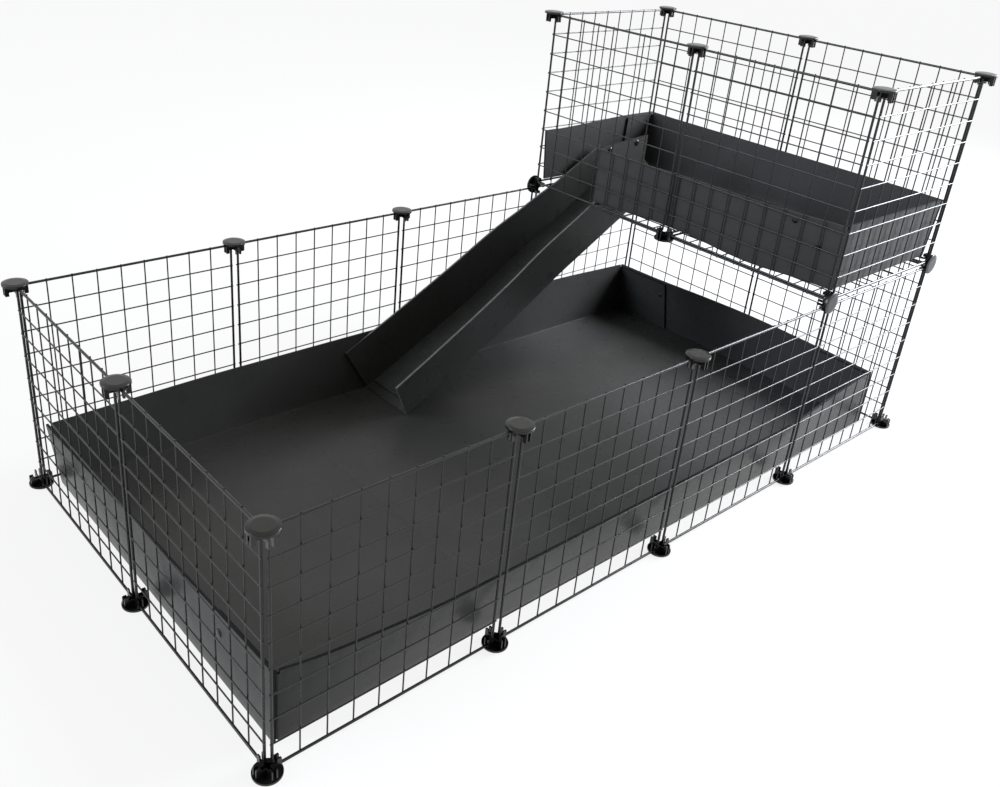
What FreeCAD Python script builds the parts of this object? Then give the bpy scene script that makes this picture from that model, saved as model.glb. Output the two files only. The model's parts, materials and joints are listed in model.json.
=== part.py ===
import FreeCAD, Part
import math
import os
import re
import Sketcher

# Modular pet cage: wire panels held by round joints, a base tray, and a loft with its own tray and ramp.
# Frame of the part: X along the length, Y along the depth, Z up, millimetres.
# The origin is on the floor, in the middle of the footprint.

# Driving sizes, in millimetres unless the note says otherwise
SIZES = (
    ("panel_span", 346.0, "distance between the centre lines of a panel's opposite edge wires"),
    ("frame_wire", 4.0, "diameter of the wire round a panel's edge"),
    ("mesh_wire", 2.2, "diameter of the wires inside a panel"),
    ("cells_per_side", 9, "count of cells along a panel's edge"),
    ("corner_radius", 8.0, "bend radius of the edge wire at a panel's corners"),
    ("mesh_overhang", 1.0, "length of a mesh wire's end beyond the edge wire"),
    ("crossing_gap", 0.1, "room between the two layers of mesh wires"),
    ("nipped_stub", 0.6, "length of the wire ends left where the loft floor panel is cut"),
    ("cut_cells_long", 5, "count of cells cut away along the length"),
    ("cut_cells_deep", 4, "count of cells cut away along the depth"),
    ("disc_diameter", 38.0, "diameter of a joint's disc"),
    ("disc_thickness", 4.5, "thickness of a joint's disc"),
    ("disc_flat", 26.0, "diameter of the flat middle of the disc"),
    ("disc_fall", 1.2, "how far the disc's face falls back at its rim"),
    ("disc_rim_round", 0.8, "rounding of the disc's rim"),
    ("joint_height", 20.0, "height of a joint from its disc's face to its prongs"),
    ("joint_wall", 2.0, "thickness of a joint's walls"),
    ("joint_reach", 17.0, "reach of a joint's walls from its middle"),
    ("low_wall", 14.0, "height of a joint's walls beside the prongs"),
    ("prong_width", 6.0, "width of a prong at the end of a wall"),
    ("prong_round", 1.5, "rounding of the prongs' outer corners"),
    ("wire_clearance", 0.2, "room each side of an edge wire in a joint's channel"),
    ("pocket_clearance", 0.15, "room between an edge wire and the outside of a joint's wall"),
    ("sheet_thickness", 4.0, "thickness of the corrugated plastic sheet"),
    ("fold_radius", 5.0, "outer radius of a fold in the sheet"),
    ("base_wall_height", 118.0, "height of the base tray's walls"),
    ("base_end_room", 7.0, "room between the base tray's ends and the discs beside them"),
    ("base_front_room", 14.0, "room between the base tray's front and the discs beside it"),
    ("base_back_room", 0.5, "room between the base tray's back and the discs beside it"),
    ("crease_width", 2.0, "width of the crease across the base tray's floor"),
    ("crease_depth", 0.6, "depth of that crease"),
    ("crease_place", 399.0, "distance of that crease from the base tray's left end"),
    ("base_flap_length", 150.0, "length of the corner flaps inside the base tray"),
    ("loft_wall_height", 116.0, "height of the loft tray's walls"),
    ("loft_tray_inset", 6.0, "distance from the loft tray to the middle planes of the panels round it"),
    ("loft_flap_length", 120.0, "length of the corner flaps inside the loft tray"),
    ("back_flap_length", 105.0, "length of the corner flap inside the loft tray's back wall"),
    ("flap_slope", 14.0, "how much shorter a corner flap is at its top"),
    ("flap_top_gap", 5.0, "how far a corner flap stops below the tray's rim"),
    ("guard_length", 144.0, "length of the wall flap folded in beside the ramp"),
    ("guard_room", 2.5, "room between that flap and the ramp"),
    ("ramp_width", 134.0, "outer width of the ramp"),
    ("ramp_foot_place", 632.0, "distance of the ramp's foot from the left row of joints"),
    ("ramp_tray_room", 0.4, "room between the ramp and the base tray's back wall"),
    ("ramp_wire_room", 1.0, "room between the ramp's walls and the wire above them"),
    ("ramp_end_room", 2.0, "room between the ramp and the edge of the loft tray's floor"),
    ("mat_thickness", 2.5, "thickness of the mat on the ramp"),
    ("mat_side_room", 1.5, "room between the mat and the ramp's walls"),
    ("mat_end_room", 18.0, "bare length of the ramp at each end of the mat"),
    ("rivet_shank", 5.0, "diameter of a push rivet's shank"),
    ("rivet_hole_room", 0.3, "room round a rivet's shank in its hole"),
    ("rivet_head", 12.0, "diameter of a push rivet's outer head"),
    ("rivet_head_height", 2.0, "height of the outer head"),
    ("rivet_tail", 9.0, "diameter of a push rivet's inner head"),
    ("rivet_tail_height", 1.6, "height of the inner head"),
    ("base_rivet_along", 127.0, "distance of a base tray rivet from the tray's corner"),
    ("base_rivet_down", 34.0, "distance of a base tray rivet below the rim"),
    ("loft_rivet_far_along", 94.0, "distance of the farther loft tray rivet from the tray's corner"),
    ("loft_rivet_far_down", 12.0, "distance of the farther loft tray rivet below the rim"),
    ("loft_rivet_near_along", 40.0, "distance of the nearer loft tray rivet from the tray's corner"),
    ("loft_rivet_near_down", 47.0, "distance of the nearer loft tray rivet below the rim"),
    ("guard_rivet_first", 30.0, "distance of the guard's first rivet from its fold"),
    ("guard_rivet_second", 111.0, "distance of the guard's second rivet from its fold"),
    ("guard_rivet_down", 12.0, "distance of the guard's rivets below the rim"),
    ("seat_gap", 0.3, "gap left where one loose piece rests on another"),
)

# Sizes that follow from the driving ones, each from those above it
DERIVED = (
    ("channel", "frame_wire + 2 * wire_clearance"),
    ("wall_outside", "channel / 2 + joint_wall"),
    ("wire_offset", "wall_outside + pocket_clearance + frame_wire / 2"),
    ("pitch", "panel_span + 2 * wire_offset"),
    ("cell_size", "panel_span / cells_per_side"),
    ("corner_middle", "panel_span / 2 - corner_radius"),
    ("mesh_layer", "(mesh_wire + crossing_gap) / 2"),
    ("mesh_length", "panel_span + frame_wire + 2 * mesh_overhang"),
    ("wire_seat", "disc_thickness + channel / 2"),
    ("ground_level", "wire_seat - wire_offset"),
    ("loft_level", "ground_level + pitch"),
    ("roof_level", "loft_level + pitch"),
    ("base_length", "4 * pitch - disc_diameter - 2 * base_end_room"),
    ("base_depth", "2 * pitch - disc_diameter - base_front_room - base_back_room"),
    ("base_middle_y", "(base_front_room - base_back_room) / 2"),
    ("loft_length", "pitch - 2 * loft_tray_inset"),
    ("loft_depth", "2 * pitch - 2 * loft_tray_inset"),
    ("loft_middle_x", "1.5 * pitch"),
    ("loft_tray_level", "loft_level + joint_reach + seat_gap"),
    ("ramp_back", "base_middle_y + base_depth / 2 - sheet_thickness - ramp_tray_room"),
    ("ramp_middle", "ramp_back - ramp_width / 2"),
    ("hole_front", "ramp_back - ramp_width - guard_room"),
    ("hole_back", "loft_depth / 2 - sheet_thickness"),
    ("foot_x", "ramp_foot_place - 2 * pitch"),
    ("foot_z", "sheet_thickness + seat_gap"),
    ("cut_x", "wire_offset + cut_cells_long * cell_size - pitch / 2"),
    ("cut_z", "wire_offset + cut_cells_deep * cell_size - pitch / 2"),
    ("cut_stub", "mesh_wire / 2 + nipped_stub"),
    ("edge_run", "loft_middle_x + cut_x - foot_x"),
    ("edge_rise", "loft_level + mesh_layer - foot_z"),
    ("edge_stand", "mesh_wire / 2 + seat_gap"),
    ("edge_reach", "sqrt(edge_run * edge_run + edge_rise * edge_rise)"),
    ("edge_slide", "sqrt(edge_reach * edge_reach - edge_stand * edge_stand)"),
    ("slope_sine", "(edge_rise * edge_slide + edge_run * edge_stand) / (edge_reach * edge_reach)"),
    ("slope_cosine", "sqrt(1 - slope_sine * slope_sine)"),
    ("wire_rise", "loft_level + wire_offset - foot_z"),
    ("wire_above_ramp", "wire_rise * slope_cosine - (pitch - foot_x) * slope_sine"),
    ("ramp_wall_height", "wire_above_ramp - frame_wire / 2 - ramp_wire_room"),
    ("loft_floor_rise", "loft_tray_level + sheet_thickness - foot_z"),
    ("hole_end", "foot_x + loft_floor_rise * slope_cosine / slope_sine + ramp_end_room"),
    ("ramp_length", "(loft_floor_rise - sheet_thickness * slope_cosine) / slope_sine"),
)

NAMES = {row[0] for row in SIZES + DERIVED}

os.makedirs("parts", exist_ok=True)
document = FreeCAD.newDocument("modular_cage")
sizes = document.addObject("Spreadsheet::Sheet", "Sizes")
for row, (name, content, note) in enumerate(SIZES, start=1):
    sizes.set("A%d" % row, name)
    sizes.set("B%d" % row, str(content))
    sizes.set("C%d" % row, note)
    sizes.setAlias("B%d" % row, name)
for row, (name, content) in enumerate(DERIVED, start=len(SIZES) + 2):
    sizes.set("A%d" % row, name)
    sizes.set("B%d" % row, "=" + content)
    sizes.setAlias("B%d" % row, name)
document.recompute()


def linked(expression):
    """The expression with every size named in it read from the sheet."""
    return re.sub(r"[a-z_]+", lambda word: "Sizes." + word.group(0) if word.group(0) in NAMES
                  else word.group(0), expression)


def bind(thing, **expressions):
    """Drive properties by expressions of sizes; two underscores in a name stand for a dot."""
    for name, expression in expressions.items():
        thing.setExpression(name.replace("__", "."), linked(expression))


def origin_piece(body, role):
    """A plane or an axis of the body's own origin."""
    for piece in body.Origin.OriginFeatures:
        if piece.Role == role:
            return piece
    raise ValueError(role)


def new_body(label):
    """An empty body named for its sub-part."""
    body = document.addObject("PartDesign::Body", label)
    body.Label = label
    return body


def new_sketch(body, name, plane, lift="0"):
    """An empty sketch on a plane of the body, lifted along the plane's normal."""
    sketch = body.newObject("Sketcher::SketchObject", name)
    sketch.AttachmentSupport = [(origin_piece(body, plane), "")]
    sketch.MapMode = "FlatFace"
    bind(sketch, AttachmentOffset__Base__z=lift)
    return sketch


def pin(sketch, item, point, place):
    """Fix a point of a sketch's item at a place given as two expressions."""
    for kind, expression in zip(("DistanceX", "DistanceY"), place):
        number = sketch.addConstraint(Sketcher.Constraint(kind, -1, 1, item, point, 0.0))
        sketch.renameConstraint(number, "pin%d" % number)
        sketch.setExpression("Constraints.pin%d" % number, linked(expression))


def draw_outline(sketch, corners):
    """Add a closed outline whose corners are pairs of expressions."""
    first = sketch.GeometryCount
    step = FreeCAD.Rotation(FreeCAD.Vector(0, 0, 1), 360.0 / len(corners))
    ring = [FreeCAD.Vector(1, 0, 0)]
    for k in range(len(corners) - 1):
        ring.append(step.multVec(ring[-1]))
    for k in range(len(corners)):
        sketch.addGeometry(Part.LineSegment(ring[k], ring[(k + 1) % len(corners)]), False)
    for k in range(len(corners)):
        following = first + (k + 1) % len(corners)
        sketch.addConstraint(Sketcher.Constraint("Coincident", first + k, 2, following, 1))
    for k, place in enumerate(corners):
        pin(sketch, first + k, 1, place)


def draw_rectangle(sketch, low, high):
    """Add a rectangle between two opposite corners."""
    draw_outline(sketch, (low, (high[0], low[1]), high, (low[0], high[1])))


def draw_circle(sketch, middle, diameter):
    """Add a circle with its middle and diameter given as expressions."""
    item = sketch.GeometryCount
    sketch.addGeometry(Part.Circle(FreeCAD.Vector(0, 0, 0), FreeCAD.Vector(0, 0, 1), 1), False)
    number = sketch.addConstraint(Sketcher.Constraint("Diameter", item, 1))
    sketch.renameConstraint(number, "across%d" % number)
    sketch.setExpression("Constraints.across%d" % number, linked(diameter))
    pin(sketch, item, 3, middle)


def add_pad(body, name, sketch, length, both_sides=False, backwards=False):
    """Pad a sketch by an expression."""
    pad = body.newObject("PartDesign::Pad", name)
    pad.Profile = sketch
    bind(pad, Length=length)
    pad.Midplane = both_sides
    pad.Reversed = backwards
    sketch.Visibility = False
    return pad


def add_pocket(body, name, sketch, length=None, both_sides=False, backwards=False):
    """Cut a sketch away by an expression, or right through."""
    pocket = body.newObject("PartDesign::Pocket", name)
    pocket.Profile = sketch
    if length is None:
        pocket.Type = "ThroughAll"
    else:
        bind(pocket, Length=length)
    pocket.Midplane = both_sides
    pocket.Reversed = backwards
    sketch.Visibility = False
    return pocket


def add_turned(body, name, pieces, axis, count):
    """Repeat features round an axis of the body."""
    pattern = body.newObject("PartDesign::PolarPattern", name)
    pattern.Originals = pieces
    pattern.Axis = (origin_piece(body, axis), [""])
    pattern.Angle = 360
    pattern.Occurrences = count
    body.Tip = pattern
    return pattern


def add_row(body, name, pieces, axis):
    """Repeat a mesh wire across the panel, one wire between each two cells."""
    pattern = body.newObject("PartDesign::LinearPattern", name)
    pattern.Originals = pieces
    pattern.Direction = (origin_piece(body, axis), [""])
    bind(pattern, Length="(cells_per_side - 2) * cell_size", Occurrences="cells_per_side - 1")
    body.Tip = pattern
    return pattern


def edges_where(shape, test):
    """Names of the edges both of whose ends pass the test."""
    names = []
    for number, edge in enumerate(shape.Edges, start=1):
        if all(test(vertex.Point) for vertex in edge.Vertexes):
            names.append("Edge%d" % number)
    return names


def add_fillet(body, name, feature, edges, radius):
    """Round edges of the feature by an expression."""
    fillet = body.newObject("PartDesign::Fillet", name)
    fillet.Base = (feature, edges)
    bind(fillet, Radius=radius)
    return fillet


def near(first, second):
    """Whether two lengths are the same."""
    return abs(first - second) < 0.01 * sizes.wire_clearance


def place(thing, rotation, x, y, z):
    """Set a piece at a place given as three expressions."""
    thing.Placement = FreeCAD.Placement(FreeCAD.Vector(0, 0, 0), rotation)
    bind(thing, Placement__Base__x=x, Placement__Base__y=y, Placement__Base__z=z)


def copy_of(master, label):
    """A body with the same shape as the master, following its changes."""
    body = new_body(label)
    source = document.addObject("PartDesign::FeatureBase", label + "_source")
    source.BaseFeature = master
    body.Group = [source]
    body.Tip = source
    return body


def turn(x, y, z, angle):
    """Rotation by an angle in degrees about the given axis."""
    return FreeCAD.Rotation(FreeCAD.Vector(x, y, z), angle)


# Wire panel: upright, its width along X, its height along Z, the cage's inside towards Y
def build_panel(label):
    body = new_body(label)
    sketch = new_sketch(body, "side_section", "YZ_Plane")
    draw_circle(sketch, ("0", "-panel_span / 2"), "frame_wire")
    side = add_pad(body, "side_wire", sketch, "2 * corner_middle", both_sides=True)
    sketch = new_sketch(body, "bend_section", "YZ_Plane", "-corner_middle")
    draw_circle(sketch, ("0", "-panel_span / 2"), "frame_wire")
    axis = sketch.addGeometry(Part.LineSegment(FreeCAD.Vector(-1, -1, 0), FreeCAD.Vector(1, -1, 0)), True)
    pin(sketch, axis, 1, ("-corner_radius", "-corner_middle"))
    pin(sketch, axis, 2, ("corner_radius", "-corner_middle"))
    bend = body.newObject("PartDesign::Revolution", "bend")
    bend.Profile = sketch
    bend.ReferenceAxis = (sketch, ["Axis0"])
    bend.Angle = 90
    add_turned(body, "edge_wire", [side, bend], "Y_Axis", 4)
    sketch = new_sketch(body, "upright_section", "XY_Plane")
    draw_circle(sketch, ("cell_size - panel_span / 2", "mesh_layer"), "mesh_wire")
    wire = add_pad(body, "upright_wire", sketch, "mesh_length", both_sides=True)
    add_row(body, "upright_wires", [wire], "X_Axis")
    sketch = new_sketch(body, "level_section", "YZ_Plane")
    draw_circle(sketch, ("-mesh_layer", "cell_size - panel_span / 2"), "mesh_wire")
    wire = add_pad(body, "level_wire", sketch, "mesh_length", both_sides=True)
    add_row(body, "level_wires", [wire], "Z_Axis")
    return body


# Round joint: its disc's face on the XY plane, its walls and prongs rising along Z
def build_joint(label):
    body = new_body(label)
    sketch = new_sketch(body, "disc_section", "XZ_Plane")
    draw_outline(sketch, (("0", "0"), ("disc_flat / 2", "0"), ("disc_diameter / 2", "disc_fall"),
                          ("disc_diameter / 2", "disc_thickness"), ("0", "disc_thickness")))
    disc = body.newObject("PartDesign::Revolution", "disc")
    disc.Profile = sketch
    disc.ReferenceAxis = (origin_piece(body, "Z_Axis"), [""])
    disc.Angle = 360
    document.recompute()
    rim = [name for name in edges_where(disc.Shape, lambda p: near(p.z, sizes.disc_fall))
           if len(disc.Shape.getElement(name).Vertexes) == 1]
    add_fillet(body, "disc_rim", disc, rim, "disc_rim_round")
    profile = (("channel / 2", "disc_thickness / 2"), ("joint_reach", "disc_thickness / 2"),
               ("joint_reach", "joint_height"), ("joint_reach - prong_width", "joint_height"),
               ("joint_reach - prong_width", "low_wall"), ("channel / 2", "low_wall"))
    sketch = new_sketch(body, "first_wall_side", "XZ_Plane", "-channel / 2")
    draw_outline(sketch, profile)
    first = add_pad(body, "first_wall", sketch, "joint_wall", backwards=True)
    sketch = new_sketch(body, "second_wall_side", "YZ_Plane", "channel / 2")
    draw_outline(sketch, profile)
    second = add_pad(body, "second_wall", sketch, "joint_wall")
    walls = add_turned(body, "walls", [first, second], "Z_Axis", 4)
    document.recompute()
    reach = sizes.joint_reach
    tips = edges_where(walls.Shape, lambda p: near(p.z, sizes.joint_height)
                       and (near(abs(p.x), reach) or near(abs(p.y), reach)))
    add_fillet(body, "prong_tips", walls, tips, "prong_round")
    return body


# Open tray folded from sheet: its underside on the XY plane, in the middle of it the origin
def build_tray(label, length, depth, height, sharp_corner=None):
    body = new_body(label)
    sketch = new_sketch(body, "tray_outline", "XY_Plane")
    draw_rectangle(sketch, ("-%s / 2" % length, "-%s / 2" % depth), ("%s / 2" % length, "%s / 2" % depth))
    block = add_pad(body, "tray_block", sketch, height)
    document.recompute()
    box = block.Shape.BoundBox
    folds = []
    for number, edge in enumerate(block.Shape.Edges, start=1):
        middle = edge.CenterOfMass
        upright = near(edge.BoundBox.ZLength, box.ZLength)
        kept_sharp = sharp_corner == (math.copysign(1, middle.x), math.copysign(1, middle.y))
        if (upright and not kept_sharp) or near(middle.z, box.ZMin):
            folds.append("Edge%d" % number)
    folded = add_fillet(body, "folds", block, folds, "fold_radius")
    document.recompute()
    shell = body.newObject("PartDesign::Thickness", "sheet")
    top = ["Face%d" % (k + 1) for k, face in enumerate(folded.Shape.Faces)
           if near(face.BoundBox.ZMin, box.ZMax)]
    shell.Base = (folded, top)
    bind(shell, Value="sheet_thickness")
    shell.Reversed = True
    return body


def add_flap(body, name, plane, lift, start, inner, run, rise, backwards):
    """A corner flap lying flat against the inside of a wall, from the tray's corner inwards.

    start is the place of the corner along the wall, inner the sign that leads away from it.
    """
    sketch = new_sketch(body, name + "_outline", plane, lift)
    far = "%s %s (%s)" % (start, inner, run)
    top = "%s %s (%s - flap_slope)" % (start, inner, run)
    draw_outline(sketch, ((start, "sheet_thickness / 2"), (far, "sheet_thickness / 2"),
                          (top, "%s - flap_top_gap" % rise), (start, "%s - flap_top_gap" % rise)))
    return add_pad(body, name, sketch, "sheet_thickness", backwards=backwards)


def build_base_tray():
    body = build_tray("base_tray", "base_length", "base_depth", "base_wall_height")
    side = "(base_depth / 2 - sheet_thickness)"
    for end, sign, backwards in (("left", "-", False), ("right", "", True)):
        lift = "%s(base_length / 2 - sheet_thickness)" % sign
        for corner, start, inner in (("front", "-" + side, "+"), ("back", side, "-")):
            add_flap(body, "%s_%s_flap" % (end, corner), "YZ_Plane", lift, start, inner,
                     "base_flap_length", "base_wall_height", backwards)
    sketch = new_sketch(body, "crease_section", "XZ_Plane")
    middle = "crease_place - base_length / 2"
    draw_rectangle(sketch, (middle + " - crease_width / 2", "sheet_thickness - crease_depth"),
                   (middle + " + crease_width / 2", "sheet_thickness + crease_depth"))
    add_pocket(body, "crease", sketch, "base_depth - 4 * fold_radius", both_sides=True)
    sketch = new_sketch(body, "rivet_holes", "YZ_Plane")
    for sign in ("-", ""):
        centre = (sign + "(base_depth / 2 - base_rivet_along)", "base_wall_height - base_rivet_down")
        draw_circle(sketch, centre, "rivet_shank + 2 * rivet_hole_room")
    add_pocket(body, "rivet_hole_cut", sketch, "2 * base_length", both_sides=True)
    return body


def build_loft_tray():
    body = build_tray("loft_tray", "loft_length", "loft_depth", "loft_wall_height", sharp_corner=(-1, 1))
    sketch = new_sketch(body, "ramp_hole", "XY_Plane")
    draw_rectangle(sketch, ("-loft_length", "hole_front"), ("hole_end - loft_middle_x", "hole_back"))
    add_pocket(body, "ramp_hole_cut", sketch, "2 * loft_wall_height", both_sides=True)
    sketch = new_sketch(body, "guard_outline", "XY_Plane")
    draw_rectangle(sketch, ("-loft_length / 2", "hole_front - sheet_thickness"),
                   ("guard_length - loft_length / 2", "hole_front"))
    guard = add_pad(body, "guard", sketch, "loft_wall_height")
    document.recompute()
    fold_x, fold_y = -sizes.loft_length / 2, sizes.hole_front
    corner = edges_where(guard.Shape, lambda p: near(p.x, fold_x) and near(p.y, fold_y))
    add_fillet(body, "guard_fold", guard, corner, "sheet_thickness / 2")
    across = "(loft_length / 2 - sheet_thickness)"
    deep = "(loft_depth / 2 - sheet_thickness)"
    add_flap(body, "left_front_flap", "YZ_Plane", "-" + across, "-" + deep, "+",
             "loft_flap_length", "loft_wall_height", False)
    add_flap(body, "right_front_flap", "YZ_Plane", across, "-" + deep, "+",
             "loft_flap_length", "loft_wall_height", True)
    add_flap(body, "right_back_flap", "XZ_Plane", "-" + deep, across, "-",
             "back_flap_length", "loft_wall_height", False)
    for name, plane, centres in (
            ("wall_holes", "YZ_Plane",
             (("loft_rivet_far_along - loft_depth / 2", "loft_wall_height - loft_rivet_far_down"),
              ("loft_rivet_near_along - loft_depth / 2", "loft_wall_height - loft_rivet_near_down"))),
            ("guard_holes", "XZ_Plane",
             (("guard_rivet_first - loft_length / 2", "loft_wall_height - guard_rivet_down"),
              ("guard_rivet_second - loft_length / 2", "loft_wall_height - guard_rivet_down")))):
        lift = "-loft_length / 2" if plane == "YZ_Plane" else "-hole_front"
        sketch = new_sketch(body, name, plane, lift)
        for centre in centres:
            draw_circle(sketch, centre, "rivet_shank + 2 * rivet_hole_room")
        add_pocket(body, name + "_cut", sketch, "6 * sheet_thickness", both_sides=True)
    return body


# Ramp: a channel of sheet, its foot's underside at the origin, its length along X
def build_ramp():
    body = new_body("ramp")
    sketch = new_sketch(body, "channel_section", "YZ_Plane")
    out = "ramp_width / 2"
    inside = "(ramp_width / 2 - sheet_thickness)"
    draw_outline(sketch, (("-" + out, "0"), (out, "0"), (out, "ramp_wall_height"),
                          (inside, "ramp_wall_height"), (inside, "sheet_thickness"),
                          ("-" + inside, "sheet_thickness"),
                          ("-" + inside, "ramp_wall_height"), ("-" + out, "ramp_wall_height")))
    channel = add_pad(body, "channel", sketch, "ramp_length")
    document.recompute()
    half = sizes.ramp_width / 2
    folds = edges_where(channel.Shape, lambda p: near(p.z, 0) and near(abs(p.y), half))
    folds = [name for name in folds if channel.Shape.getElement(name).BoundBox.XLength > sizes.ramp_width]
    add_fillet(body, "channel_folds", channel, folds, "fold_radius")
    return body


def build_mat():
    body = new_body("ramp_mat")
    sketch = new_sketch(body, "mat_outline", "XY_Plane", "sheet_thickness")
    half = "(ramp_width / 2 - sheet_thickness - mat_side_room)"
    draw_rectangle(sketch, ("mat_end_room", "-" + half), ("ramp_length - mat_end_room", half))
    add_pad(body, "mat_sheet", sketch, "mat_thickness")
    return body


def put_on_slope(body):
    """Set a piece of the ramp at the ramp's foot and tilt it to the ramp's slope."""
    place(body, turn(0, -1, 0, 1), "foot_x", "ramp_middle", "foot_z")
    bind(body, Placement__Rotation__Angle="asin(slope_sine)")


# Push rivet: its outer head's seat on the XY plane, its shank running along Z to the inner head
def build_rivet(label, grip):
    body = new_body(label)
    sketch = new_sketch(body, "rivet_section", "XZ_Plane")
    draw_outline(sketch, (("0", "-rivet_head_height"), ("rivet_shank / 2", "-rivet_head_height"),
                          ("rivet_head / 2", "-rivet_head_height / 3"), ("rivet_head / 2", "0"),
                          ("rivet_shank / 2", "0"), ("rivet_shank / 2", grip), ("rivet_tail / 2", grip),
                          ("rivet_tail / 2 - rivet_tail_height / 2", grip + " + rivet_tail_height"),
                          ("0", grip + " + rivet_tail_height")))
    turned = body.newObject("PartDesign::Revolution", "rivet")
    turned.Profile = sketch
    turned.ReferenceAxis = (origin_piece(body, "Z_Axis"), [""])
    turned.Angle = 360
    return body


# Middles of the cells of the cage's plan, and its rows of joints, as expressions
COLUMNS = ("-2 * pitch", "-pitch", "0", "pitch", "2 * pitch")
BAYS = ("-1.5 * pitch", "-0.5 * pitch", "0.5 * pitch", "1.5 * pitch")
ROWS = ("-pitch", "0", "pitch")
HALVES = ("-0.5 * pitch", "0.5 * pitch")
BASE_MIDDLE = "ground_level + pitch / 2"
LOFT_MIDDLE = "loft_level + pitch / 2"

FACING_FRONT = turn(0, 0, 1, 0)
FACING_BACK = turn(0, 0, 1, 180)
FACING_LEFT = turn(0, 0, 1, -90)
FACING_RIGHT = turn(0, 0, 1, 90)
LYING = turn(1, 0, 0, 90)

PANELS = [("front_panel_%d" % k, FACING_FRONT, bay, ROWS[0], BASE_MIDDLE) for k, bay in enumerate(BAYS, 1)]
PANELS += [("back_panel_%d" % k, FACING_BACK, bay, ROWS[2], BASE_MIDDLE) for k, bay in enumerate(BAYS, 1)]
for k, half in enumerate(HALVES, start=1):
    PANELS += [("left_panel_%d" % k, FACING_LEFT, COLUMNS[0], half, BASE_MIDDLE),
               ("right_panel_%d" % k, FACING_RIGHT, COLUMNS[4], half, BASE_MIDDLE),
               ("loft_inner_panel_%d" % k, FACING_LEFT, COLUMNS[3], half, LOFT_MIDDLE),
               ("loft_right_panel_%d" % k, FACING_RIGHT, COLUMNS[4], half, LOFT_MIDDLE),
               ("loft_floor_panel_%d" % k, LYING, BAYS[3], half, "loft_level")]
PANELS += [("loft_front_panel", FACING_FRONT, BAYS[3], ROWS[0], LOFT_MIDDLE),
           ("loft_back_panel", FACING_BACK, BAYS[3], ROWS[2], LOFT_MIDDLE)]

# Ways a joint's prongs can point
RISING = turn(0, 0, 1, 0)
HANGING = turn(1, 0, 0, 180)
REACHING_BACK = turn(1, 0, 0, -90)
REACHING_FRONT = turn(1, 0, 0, 90)
REACHING_RIGHT = turn(0, 1, 0, 90)
REACHING_LEFT = turn(0, 1, 0, -90)
RIM = "loft_level + ground_level"
ROOF = "roof_level + ground_level"

JOINTS = [("foot_front_%d" % (k + 1), RISING, column, ROWS[0], "0") for k, column in enumerate(COLUMNS)]
JOINTS += [("foot_back_%d" % (k + 1), RISING, column, ROWS[2], "0") for k, column in enumerate(COLUMNS)]
JOINTS += [("foot_left", RISING, COLUMNS[0], ROWS[1], "0"), ("foot_right", RISING, COLUMNS[4], ROWS[1], "0")]
JOINTS += [("rim_front_%d" % (k + 1), HANGING, COLUMNS[k], ROWS[0], RIM) for k in range(3)]
JOINTS += [("rim_back_%d" % (k + 1), HANGING, COLUMNS[k], ROWS[2], RIM) for k in range(3)]
JOINTS += [("rim_left", HANGING, COLUMNS[0], ROWS[1], RIM)]
for side, column in (("inner", COLUMNS[3]), ("right", COLUMNS[4])):
    JOINTS += [("loft_joint_front_%s" % side, REACHING_BACK, column, "-pitch - wire_seat", "loft_level"),
               ("loft_joint_back_%s" % side, REACHING_FRONT, column, "pitch + wire_seat", "loft_level")]
    JOINTS += [("loft_cap_%s_%s" % (row, side), HANGING, column, ROWS[k], ROOF)
               for k, row in enumerate(("front", "middle", "back"))]
JOINTS += [("loft_joint_middle_inner", RISING, COLUMNS[3], ROWS[1], "loft_level - wire_seat"),
           ("loft_joint_middle_right", REACHING_LEFT, "2 * pitch + wire_seat", ROWS[1], "loft_level")]

nodes = []


def build_series(rows, build):
    """Build the first piece of a row of like pieces and set the others as copies of it."""
    master = None
    for label, rotation, x, y, z in rows:
        body = build(label) if master is None else copy_of(master, label)
        master = master or body
        place(body, rotation, x, y, z)
        nodes.append(body)


build_series(PANELS, build_panel)
build_series(JOINTS, build_joint)

# The loft's back floor panel is cut away at one corner for the ramp
notched = document.getObject("loft_floor_panel_2")
notch = new_sketch(notched, "notch_outline", "XZ_Plane")
draw_rectangle(notch, ("-pitch", "-pitch"), ("cut_x - cut_stub", "cut_z - cut_stub"))
add_pocket(notched, "notch", notch, "4 * frame_wire", both_sides=True)

base_tray = build_base_tray()
place(base_tray, RISING, "0", "base_middle_y", "0")
loft_tray = build_loft_tray()
place(loft_tray, RISING, "loft_middle_x", "0", "loft_tray_level")
ramp = build_ramp()
ramp_mat = build_mat()
put_on_slope(ramp)
put_on_slope(ramp_mat)
nodes += [base_tray, loft_tray, ramp, ramp_mat]

double_rivet = None
rivet_groups = {"base_tray_rivets": [], "loft_tray_rivets": []}
base_end = "(base_length / 2)"
base_row_front = "base_middle_y - (base_depth / 2 - base_rivet_along)"
base_row_back = "base_middle_y + (base_depth / 2 - base_rivet_along)"
base_rise = "base_wall_height - base_rivet_down"
loft_end = "loft_middle_x - loft_length / 2"
loft_rim = "loft_tray_level + loft_wall_height"
DOUBLE_RIVETS = (
    ("base_tray_rivets", "left_front", REACHING_RIGHT, "-" + base_end, base_row_front, base_rise),
    ("base_tray_rivets", "left_back", REACHING_RIGHT, "-" + base_end, base_row_back, base_rise),
    ("base_tray_rivets", "right_front", REACHING_LEFT, base_end, base_row_front, base_rise),
    ("base_tray_rivets", "right_back", REACHING_LEFT, base_end, base_row_back, base_rise),
    ("loft_tray_rivets", "far", REACHING_RIGHT, loft_end, "loft_rivet_far_along - loft_depth / 2",
     loft_rim + " - loft_rivet_far_down"),
    ("loft_tray_rivets", "near", REACHING_RIGHT, loft_end, "loft_rivet_near_along - loft_depth / 2",
     loft_rim + " - loft_rivet_near_down"),
)
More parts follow.
